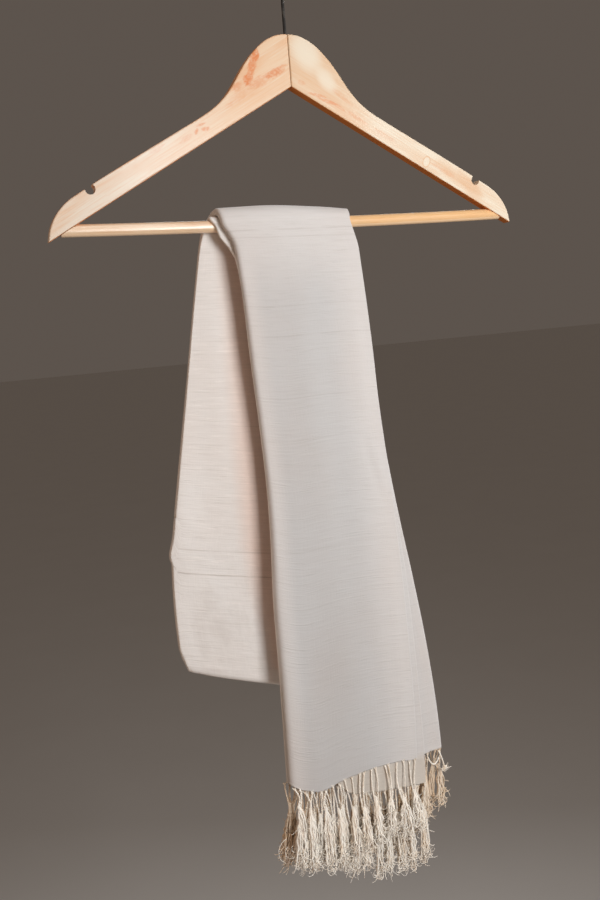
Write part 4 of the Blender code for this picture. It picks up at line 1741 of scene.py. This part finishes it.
@dataclass
class Fringe:
    """Tassels along fringed edges: gathered roots, two twisted cords and a frayed lock.

    Attributes:
        name: The piece's name.
        stands_for: The solid that it replaces.
        seed: Start of its random draws.
        pitch: Distance between tassels.
        lengths: Their length from left to right, or nothing for that of the table of leans.
        necks: Share of the length that the cords take, from left to right.
        root: Drop over which the warp ends gather into a cord.
        root_radius: Radius of the gathered warp ends.
        apart: Distance between a tassel's two cords at the hem.
        jitter: How far a tassel may stand from its even place.
        ply_radius: Radius of each of a cord's two plies.
        twist: Length of one turn of a cord.
        yarns: Number of yarns in a lock.
        yarn_radius: Their radius.
        spread: Radius that the lock opens to.
        hair_radius: Radius of the fine hairs.
        strays: Number of stray hairs beside a lock.
    """

    name: str
    stands_for: str
    seed: int
    pitch: float = 14.0
    lengths: tuple[Level, ...] = ()
    necks: tuple[Level, ...] = (Level(0, 0.42),)
    root: float = 4.0
    root_radius: float = 0.40
    apart: float = 7.0
    jitter: float = 1.3
    ply_radius: float = 0.60
    twist: float = 4.6
    yarns: int = 15
    yarn_radius: float = 0.84
    spread: float = 5.0
    hair_radius: float = 0.34
    strays: int = 6
    strands: list[tuple[list[Vector], list[float]]] = field(default_factory=list)

    def build(self, edges: Sequence[tuple[list[Vector], float]],
              material: bpy.types.Material) -> bpy.types.Object:
        """Makes the tassels of the edges as one joined mesh.

        Args:
            edges: Each fringed edge, with how far back its tassels swing.
            material: The thread's finish.

        Returns:
            The finished piece.
        """
        draw = Random(self.seed)
        for edge, swing in edges:
            for root in self.even_steps(edge):
                self.tassel(root, swing, draw)
        return self.joined(material)

    def even_steps(self, edge: Sequence[Vector]) -> list[Vector]:
        """Lists points at even steps along an edge, half a step in from its ends.

        Args:
            edge: The edge.

        Returns:
            The points.
        """
        lengths = [(b - a).length for a, b in zip(edge, edge[1:])]
        count = max(1, round(sum(lengths) / (self.pitch * MM)))
        step = sum(lengths) / count
        found: list[Vector] = []
        walked, i = 0.0, 0
        for n in range(count):
            target = (n + 0.5) * step
            while walked + lengths[i] < target:
                walked += lengths[i]
                i += 1
            found.append(edge[i].lerp(edge[i + 1], (target - walked) / lengths[i]))
        return found

    def tassel(self, root: Vector, swing: float, draw: Random) -> None:
        """Adds the strands of one tassel.

        Args:
            root: Its place on the hem.
            swing: How far back its tip hangs.
            draw: The random draws.
        """
        root = root + Vector((draw.uniform(-self.jitter, self.jitter), 0, 0)) * MM
        across = root.x / MM
        length = level(self.lengths, across) if self.lengths else \
            eased(TASSEL_LEANS, 0, 2, across)
        length *= draw.uniform(0.90, 1.05)
        lean = eased(TASSEL_LEANS, 0, 1, across) + draw.gauss(0, 3.4)
        sway = draw.uniform(-2.2, 2.2)
        back_sway = draw.uniform(-1.2, 1.2)
        phase = draw.uniform(0, tau)
        neck = level(self.necks, across) * draw.uniform(0.62, 1.22)
        reach = self.spread * draw.uniform(0.70, 1.15)
        split = draw.uniform(0.10, 0.40)
        apart = draw.choice((-1, 1)) * draw.uniform(0.5, 2.6)

        def middle(part: float) -> Vector:
            """Finds a place on the tassel's middle line.

            Args:
                part: The part of its length.

            Returns:
                The place.
            """
            return root + Vector((
                lean * part**1.4 + sway * sin(pi * part),
                swing * part**1.2 + back_sway * sin(pi * part),
                -length * part,
            )) * MM

        for side in (-0.5, 0.5):
            begun = side * self.apart * draw.uniform(0.30, 1.50)
            slack = draw.gauss(0, 1.9)
            thick = draw.uniform(0.75, 1.35)

            def cord(at: float, side: float = side, begun: float = begun,
                     slack: float = slack) -> Vector:
                """Finds a place on a cord's middle line, which nears its twin at the lock.

                Args:
                    at: The part of the tassel's length.
                    side: The cord's side.
                    begun: How far to that side it leaves the hem.
                    slack: How far it sways to the right.

                Returns:
                    The place.
                """
                gap = mix(begun, side * 0.4 * self.apart, smooth(at / neck))
                gap += slack * sin(pi * clamp(at / neck))
                return middle(at) + Vector((gap, 0, 0)) * MM

            gathered = cord(self.root / length)
            for k in (-1, 0, 1):
                end = cord(0.0) + Vector((k * 1.5, 0, 0.6)) * MM
                self.add([end, end.lerp(gathered, 0.6), gathered], [self.root_radius] * 3)
            self.neck(cord, 0.5 * self.root / length, neck * 1.06, phase + side, thick)
        for k in range(self.yarns):
            side, part = (apart, split) if k % 3 == 0 else (-apart / 2, 0.0)

            def leaning(at: float, side: float = side, part: float = part) -> Vector:
                """Returns the middle line of the yarn's share of the lock."""
                beyond = max(0.0, at - neck) / (1 - neck)
                return middle(at * (1 - 0.22 * part)) + Vector((side * beyond**1.3, 0, 0)) * MM

            self.yarn(leaning, neck * 0.9, k, length, reach, draw)
        for _ in range(self.strays):
            side = Vector((draw.uniform(-1, 1), draw.uniform(-0.6, 0.6), 0)) * reach * MM
            self.wisp(middle(draw.uniform(neck, 0.9)) + side, 1.7, draw)

    def neck(self, middle: Callable[[float], Vector], start: float, end: float,
             phase: float, thick: float) -> None:
        """Adds the two plies of a twisted cord.

        Args:
            middle: The cord's middle line.
            start: Part of the length at which it starts.
            end: Part of the length at which it ends.
            phase: Angle of its first ply at the start.
            thick: Its thickness beside the usual one.
        """
        steps = 26
        span = (middle(end) - middle(start)).length / MM
        radius = self.ply_radius * thick
        for side in (0, pi):
            points, radii = [], []
            for i in range(steps + 1):
                t = i / steps
                turn = phase + side + tau * span * t / self.twist
                spiral = Vector((cos(turn), sin(turn), 0)) * 0.72 * radius * MM
                points.append(middle(mix(start, end, t)) + spiral)
                radii.append(radius * (0.85 + 0.15 * sin(7 * t + side)))
            self.add(points, radii)

    def yarn(self, middle: Callable[[float], Vector], start: float, number: int,
             length: float, reach: float, draw: Random) -> None:
        """Adds one crimped yarn of the lock, which frays at its tip.

        Args:
            middle: The tassel's middle line.
            start: Part of the length at which the lock opens.
            number: The yarn's number in the lock.
            length: Length of the tassel.
            reach: Radius that the lock opens to.
            draw: The random draws.
        """
        steps = 16
        ring = reach * ((number + 0.5) / self.yarns) ** 0.5
        turn = GOLDEN_TURN * number + draw.uniform(-0.4, 0.4)
        end = draw.uniform(0.86, 1.03)
        crimp = draw.uniform(0.25, 0.85)
        wave = draw.uniform(7.0, 15.0)
        shift = draw.uniform(0, tau)
        curl = draw.uniform(-0.6, 0.6)
        flare = draw.uniform(-0.30, 0.30)
        hook = draw.gauss(0, 2.0)
        opening = draw.uniform(0.30, 0.75)
        points, radii = [], []
        for i in range(steps + 1):
            t = i / steps
            part = mix(start, end, t)
            open_part = mix(0.10, 1.0, smooth(t / opening)) + flare * t**3
            angle = turn + curl * t
            ripple = crimp * sin(tau * (part - start) * length / wave + shift) * smooth(t * 5)
            ripple += hook * smooth((t - 0.8) / 0.2)
            offset = Vector((cos(angle), 0.55 * sin(angle), 0)) * ring * open_part
            offset += Vector((ripple, 0.7 * ripple * cos(shift), 0))
            points.append(middle(part) + offset * MM)
            thin = 1 - 0.55 * smooth((t - 0.82) / 0.18)
            radii.append(self.yarn_radius * thin * (1 + 0.28 * sin(9 * t + shift)))
        self.add(points, radii)
        for back_from_tip, size in TIP_HAIRS:
            self.wisp(points[-back_from_tip], size, draw)

    def wisp(self, start: Vector, size: float, draw: Random) -> None:
        """Adds a fine curled hair, from the tip of a yarn or beside a lock.

        Args:
            start: Where it starts.
            size: Its size beside that of a hair at a tip.
            draw: The random draws.
        """
        self.curl(start, draw.uniform(-1.0, 1.0), draw.uniform(-0.75, 0.75),
                  draw.uniform(0.9, 1.6) * size, draw.uniform(-0.4, 0.4))

    def curl(self, start: Vector, bearing: float, bend: float, step: float,
             drift: float = 0.0, count: int = 5) -> None:
        """Adds a hair that bends evenly.

        Args:
            start: Where it starts.
            bearing: Its first direction, as an angle from straight down to the right.
            bend: How far it turns at each step.
            step: Length of a step.
            drift: How far it leaves the plane of the front.
            count: Number of steps.
        """
        points, radii = [start], [self.hair_radius * 1.2]
        for i in range(count):
            bearing += bend
            ahead = Vector((sin(bearing), drift, -cos(bearing)))
            points.append(points[-1] + ahead * step * MM)
            radii.append(self.hair_radius * (1 - 0.5 * i / count))
        self.add(points, radii)

    def slack_loop(self, start: Vector, end: Vector, sag: float) -> None:
        """Adds a loose yarn that sags between two places.

        Args:
            start: The first place.
            end: The second place.
            sag: How far its middle sags.
        """
        steps = 12
        points = []
        for i in range(steps + 1):
            t = i / steps
            points.append(start.lerp(end, t) - Vector((0, 0, 4 * t * (1 - t) * sag * MM)))
        self.add(points, [self.yarn_radius] * len(points))

    def add(self, points: list[Vector], radii: list[float]) -> None:
        """Keeps one strand for the joined mesh."""
        self.strands.append((points, radii))

    def joined(self, material: bpy.types.Material) -> bpy.types.Object:
        """Sweeps every strand as a thin tube, and joins them in one mesh.

        Args:
            material: The thread's finish.

        Returns:
            The finished piece.
        """
        curve = bpy.data.curves.new(self.name, "CURVE")
        curve.dimensions = "3D"
        curve.bevel_depth = MM
        curve.bevel_resolution = 0
        curve.use_fill_caps = True
        for points, radii in self.strands:
            spline = curve.splines.new("POLY")
            spline.points.add(len(points) - 1)
            for target, point, radius in zip(spline.points, points, radii):
                target.co = (*point, 1.0)
                target.radius = radius
        source = linked(self.name, curve)
        depsgraph = bpy.context.evaluated_depsgraph_get()
        mesh = bpy.data.meshes.new_from_object(source.evaluated_get(depsgraph))
        bpy.data.objects.remove(source)
        bpy.data.curves.remove(curve)
        mesh.name = self.name
        mesh.materials.clear()
        mesh.materials.append(material)
        mesh.polygons.foreach_set("use_smooth", [True] * len(mesh.polygons))
        return linked(self.name, mesh)


@dataclass
class FoldedShawl:
    """The shawl: three sheets of silk and the tassels on their fringed edges."""

    run: Run = field(default_factory=Run)
    silk: SilkFinish = field(default_factory=SilkFinish)
    thread: ThreadFinish = field(default_factory=ThreadFinish)

    def sheets(self) -> list[Sheet]:
        """Lays out the three sheets.

        Returns:
            The sheets, before they are built.
        """
        face, loop, inner = FIRST_WIDTHS
        turned, right_loop, tail = THIRD_WIDTHS
        third_from = sum(FIRST_WIDTHS)
        first = columns_of((
            (Leg.FIRST, even_parts(30, lip=LIP), face),
            (Leg.LEFT_LOOP, even_parts(10), loop),
            (Leg.RETURN, even_parts(7), inner)), 0.0)
        second = columns_of(((Leg.SECOND, even_parts(16, lip=LIP), SECOND_WIDTH),),
                            third_from + sum(THIRD_WIDTHS))
        third = columns_of((
            (Leg.THIRD, [*even_parts(8)[:-1], 0.93, 0.96, 0.98, 1.0], turned),
            (Leg.RIGHT_LOOP, even_parts(8), right_loop),
            (Leg.TAIL, even_parts(3), tail)), third_from)
        bar = ("trouser_bar",)
        return [
            Sheet("silk_first_fold", first, HEM_FIRST, 0.28,
                  ("front_first_fold", "crest_outer_folds", "crest_inner_folds", "back_fall",
                   "front_inner_folds"), bar),
            Sheet("silk_second_fold", second, HEM_SECOND, 0.13, ("front_second_fold",), bar),
            Sheet("silk_third_fold", third, HEM_THIRD, 0.15, ("front_third_fold",), bar),
        ]

    def build(self) -> None:
        silk, thread = self.silk.make(), self.thread.make()
        first, second, third = self.sheets()
        cloths = [(sheet, sheet.build(self.run, silk)) for sheet in (first, second, third)]
        hem = first.edge(Half.OUTER)
        fringes = [self.tassels(fringe, edges, thread) for fringe, edges in (
            (self.first_fringe(),
             [(hem[:LOOP_COLUMN], FIRST_SWING), (hem[LOOP_COLUMN:], LOOP_SWING)]),
            (Fringe("tassels_second", "fringe_second", 23),
             [(second.edge(Half.OUTER), SECOND_SWING)]),
            (self.loose_right_end(), [(third.edge(Half.OUTER), THIRD_SWING)]),
            (Fringe("tassels_inner", "fringe_inner", 41, pitch=13.0),
             [(first.edge(Half.INNER), INNER_SWING)]),
        )]
        for sheet, piece in cloths:
            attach(piece, "root")
            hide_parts(*sheet.stands_for)
            LOG.info("%s: %d faces", piece.name, len(piece.data.polygons))

    @staticmethod
    def first_fringe() -> Fringe:
        """Lays out the first fold's fringe, with long stray curls at both its lower ends.

        Returns:
            The fringe, before it is built.
        """
        fringe = Fringe("tassels_first", "fringe_first", 11, lengths=FIRST_LENGTHS,
                        necks=FIRST_NECKS)
        fringe.curl(place(-74, -26, 568), -1.3, 0.16, 2.2, count=14)
        fringe.curl(place(-73, -24, 578), -1.0, 0.24, 1.8, count=11)
        fringe.curl(place(57, -22, 632), 0.5, 0.22, 1.9, count=13)
        fringe.curl(place(50, -24, 636), 0.9, -0.20, 1.6, count=9)
        return fringe

    @staticmethod
    def loose_right_end() -> Fringe:
        """Lays out the third fold's fringe, with a slack loop and a short end at its right.

        Returns:
            The fringe, before it is built.
        """
        fringe = Fringe("tassels_third", "fringe_third", 37)
        fringe.slack_loop(place(85, LOOSE_DEPTH, 532), place(98, LOOSE_DEPTH, 536), 8.0)
        short_end = [place(98 + 6 * t, LOOSE_DEPTH, 529 + 20 * t - 2 * sin(pi * t)) for t in
                     even_parts(8)]
        fringe.add(short_end, [0.85] * len(short_end))
        draw = Random(5)
        for _ in range(26):
            fringe.wisp(short_end[-1] + Vector((draw.gauss(0, 1), 0, draw.gauss(0, 1))) * MM,
                        0.8, draw)
        return fringe

    @staticmethod
    def tassels(fringe: Fringe, edges: Sequence[tuple[list[Vector], float]],
                material: bpy.types.Material) -> bpy.types.Object:
        """Builds one fringe and hides the solid that it stands for.

        Args:
            fringe: The fringe.
            edges: Each of its edges, with how far back its tassels swing.
            material: The thread's finish.

        Returns:
            The finished piece.
        """
        piece = fringe.build(edges, material)
        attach(piece, "root")
        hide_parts(fringe.stands_for)
        LOG.info("%s: %d faces", piece.name, len(piece.data.polygons))
        return piece


@dataclass(frozen=True)
class Hanger:
    """The wooden hanger: two arms, the trouser bar and the wire hook, finished in place."""

    slope: float = 29.2
    left_patches: tuple[Patch, ...] = (
        Patch(-31.5, 25.0, 8.0, 4.6, 78.0, 1.0),
        Patch(-35.5, 15.0, 18.0, 4.8, 70.0, 0.85),
        Patch(-40.0, 5.0, 8.0, 5.4, 62.0, 1.0),
        Patch(-50.0, -1.0, 9.0, 5.0, 30.0, 0.50),
        Patch(-13.0, 12.0, 15.0, 4.6, 30.0, 0.80),
        Patch(-28.0, 4.0, 18.0, 6.0, 26.0, 0.45),
        Patch(-52.0, -11.0, 16.0, 5.0, 34.0, 0.22),
        Patch(-82.0, -36.0, 5.0, 2.6, 10.0, 0.75),
        Patch(-90.0, -38.0, 4.0, 2.2, 60.0, 0.70),
        Patch(-86.0, -32.5, 7.0, 1.5, 20.0, 0.55),
        Patch(-100.0, -44.0, 9.0, 3.0, 30.0, 0.25),
        Patch(-126.0, -52.0, 10.0, 3.4, 29.0, 0.22),
    )
    right_patches: tuple[Patch, ...] = (
        Patch(10.0, 3.5, 5.0, 4.0, -20.0, 0.32),
        Patch(24.0, -7.0, 12.0, 1.8, -12.0, 0.55),
        Patch(33.0, -12.0, 13.0, 2.0, -18.0, 0.50),
        Patch(43.0, -16.0, 13.0, 2.0, -28.0, 0.42),
        Patch(48.0, -8.0, 16.0, 3.0, -40.0, 0.20),
        Patch(62.0, -26.0, 16.0, 2.6, -30.0, 0.30),
        Patch(90.0, -42.0, 16.0, 3.0, -29.0, 0.20),
        Patch(150.0, -74.0, 18.0, 3.0, -29.0, 0.20),
    )
    right_lights: tuple[Patch, ...] = (
        Patch(16.0, 30.0, 24.0, 16.0, -60.0, 0.9),
        Patch(34.0, 6.0, 16.0, 9.0, -50.0, 0.8),
    )
    knot: Patch = Patch(131.5, -65.5, 6.5, 4.6, 60.0, 1.0)

    def dress(self, nodes: dict[str, bpy.types.Object]) -> None:
        """Gives each wooden and metal solid its finish.

        Args:
            nodes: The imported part's solids by name.
        """
        # The left arm's top gets the most painted shade, the right arm's and the bar's little;
        # the bar's lower side gets painted light.
        finishes = {
            "arm_left": PineFinish("pine_left", self.slope, patches=self.left_patches),
            "arm_right": PineFinish("pine_right", -self.slope, white=(0.760, 0.665, 0.525),
                                    pale=(0.700, 0.500, 0.325), ring=(0.660, 0.375, 0.190),
                                    rim=0.15, white_from=0.045, white_to=0.090,
                                    patches=self.right_patches, lights=self.right_lights,
                                    knot=self.knot),
            "trouser_bar": PineFinish("bar_pine", 0.0, white=(0.880, 0.650, 0.440),
                                      pale=(0.780, 0.490, 0.240), ring=(0.720, 0.380, 0.150),
                                      painted_facing_colour=(0.900, 0.620, 0.380), rim=0.1, white_from=0.02,
                                      white_to=-0.10, gloss=1.0, coat_ior=2.4,
                                      coat_roughness=0.30, turned=True),
            "hook": WireFinish(),
        }
        for name, finish in finishes.items():
            solid = nodes[name]
            material = finish.make()
            solid.data.materials.clear()
            solid.data.materials.append(material)
            LOG.info("%s: dressed in %s", name, material.name)


@dataclass(frozen=True)
class Softbox:
    """One soft area light.

    Attributes:
        name: Its name.
        place: Where it stands, in metres.
        aim: The point it faces.
        width: Its width in metres.
        height: Its height in metres.
        watts: Its power.
        colour: Its tint.
    """

    name: str
    place: tuple[float, float, float]
    aim: tuple[float, float, float]
    width: float
    height: float
    watts: float
    colour: RGB = (1.0, 1.0, 1.0)

    def hang(self) -> None:
        """Adds the light to the scene."""
        lamp = bpy.data.lights.new(self.name, "AREA")
        lamp.shape = "RECTANGLE"
        lamp.size = self.width
        lamp.size_y = self.height
        lamp.energy = self.watts
        lamp.color = self.colour
        light = linked(self.name, lamp)
        light.location = self.place
        facing = Vector(self.aim) - Vector(self.place)
        light.rotation_mode = "QUATERNION"
        light.rotation_quaternion = facing.to_track_quat("-Z", "Y")


@dataclass(frozen=True)
class Studio:
    """A plain pale floor and plain soft light."""

    floor_z: float = -2.30
    floor_reach: float = 45.0
    surround: RGB = (0.108, 0.088, 0.074)
    lights: tuple[Softbox, ...] = (
        Softbox("key", (0.33, -1.08, -0.17), (0.0, 0.0, -0.44), 0.50, 0.50, 11.5),
        Softbox("left_rim", (-1.5, -0.6, -0.3), (-0.05, 0.0, -0.45), 0.5, 0.9, 4.6,
                (1.0, 0.68, 0.47)),
        Softbox("right_rim", (1.5, -0.55, -0.3), (0.0, 0.0, -0.45), 0.5, 0.9, 7.5),
        Softbox("top", (0.2, -0.3, 1.2), (0.0, 0.0, -0.4), 1.0, 0.8, 5.0),
        Softbox("rear", (0.7, 1.5, 0.1), (0.0, 0.0, -0.45), 0.9, 0.9, 14.0),
    )

    def build(self) -> None:
        """Lays the floor, sets the surround and hangs the lights."""
        shape = bmesh.new()
        bmesh.ops.create_grid(shape, x_segments=8, y_segments=8, size=self.floor_reach)
        bmesh.ops.translate(shape, verts=shape.verts, vec=(0, 0, self.floor_z))
        floor = finished_mesh("floor", shape, FloorFinish().make())
        world = bpy.data.worlds.new("surround")
        world.use_nodes = True
        world.node_tree.nodes["Background"].inputs["Color"].default_value = (*self.surround, 1)
        bpy.context.scene.world = world
        for light in self.lights:
            light.hang()
        bpy.context.scene.view_settings.view_transform = "Standard"
        LOG.info("studio: floor and %d lights", len(self.lights))


@dataclass(frozen=True)
class PhotoCamera:
    """The camera at the photograph's viewing angle."""

    place: tuple[float, float, float] = (-0.31104, -0.75075, -0.31556)
    right: tuple[float, float, float] = (0.92393, -0.37387, -0.08108)
    up: tuple[float, float, float] = (0.13072, 0.10933, 0.98537)
    forward: tuple[float, float, float] = (0.35954, 0.92101, -0.14988)
    lens: float = 35.0
    sensor: float = 36.0

    def build(self) -> None:
        """Adds the camera and makes it the scene's."""
        data = bpy.data.cameras.new("photo_camera")
        data.lens = self.lens
        data.sensor_width = self.sensor
        data.clip_start = 0.01
        data.clip_end = 120.0
        camera = linked("photo_camera", data)
        axes = Matrix((self.right, self.up, [-value for value in self.forward])).transposed()
        camera.matrix_world = Matrix.Translation(self.place) @ axes.to_4x4()
        bpy.context.scene.camera = camera


def main() -> None:
    """Builds the shawl, dresses the hanger and sets the studio."""
    logging.basicConfig(level=logging.INFO, format="%(name)s: %(message)s")
    PhotoCamera().build()
    Hanger().dress(frame["nodes"])
    FoldedShawl().build()
    Studio().build()


if __name__ == "__main__":
    main()
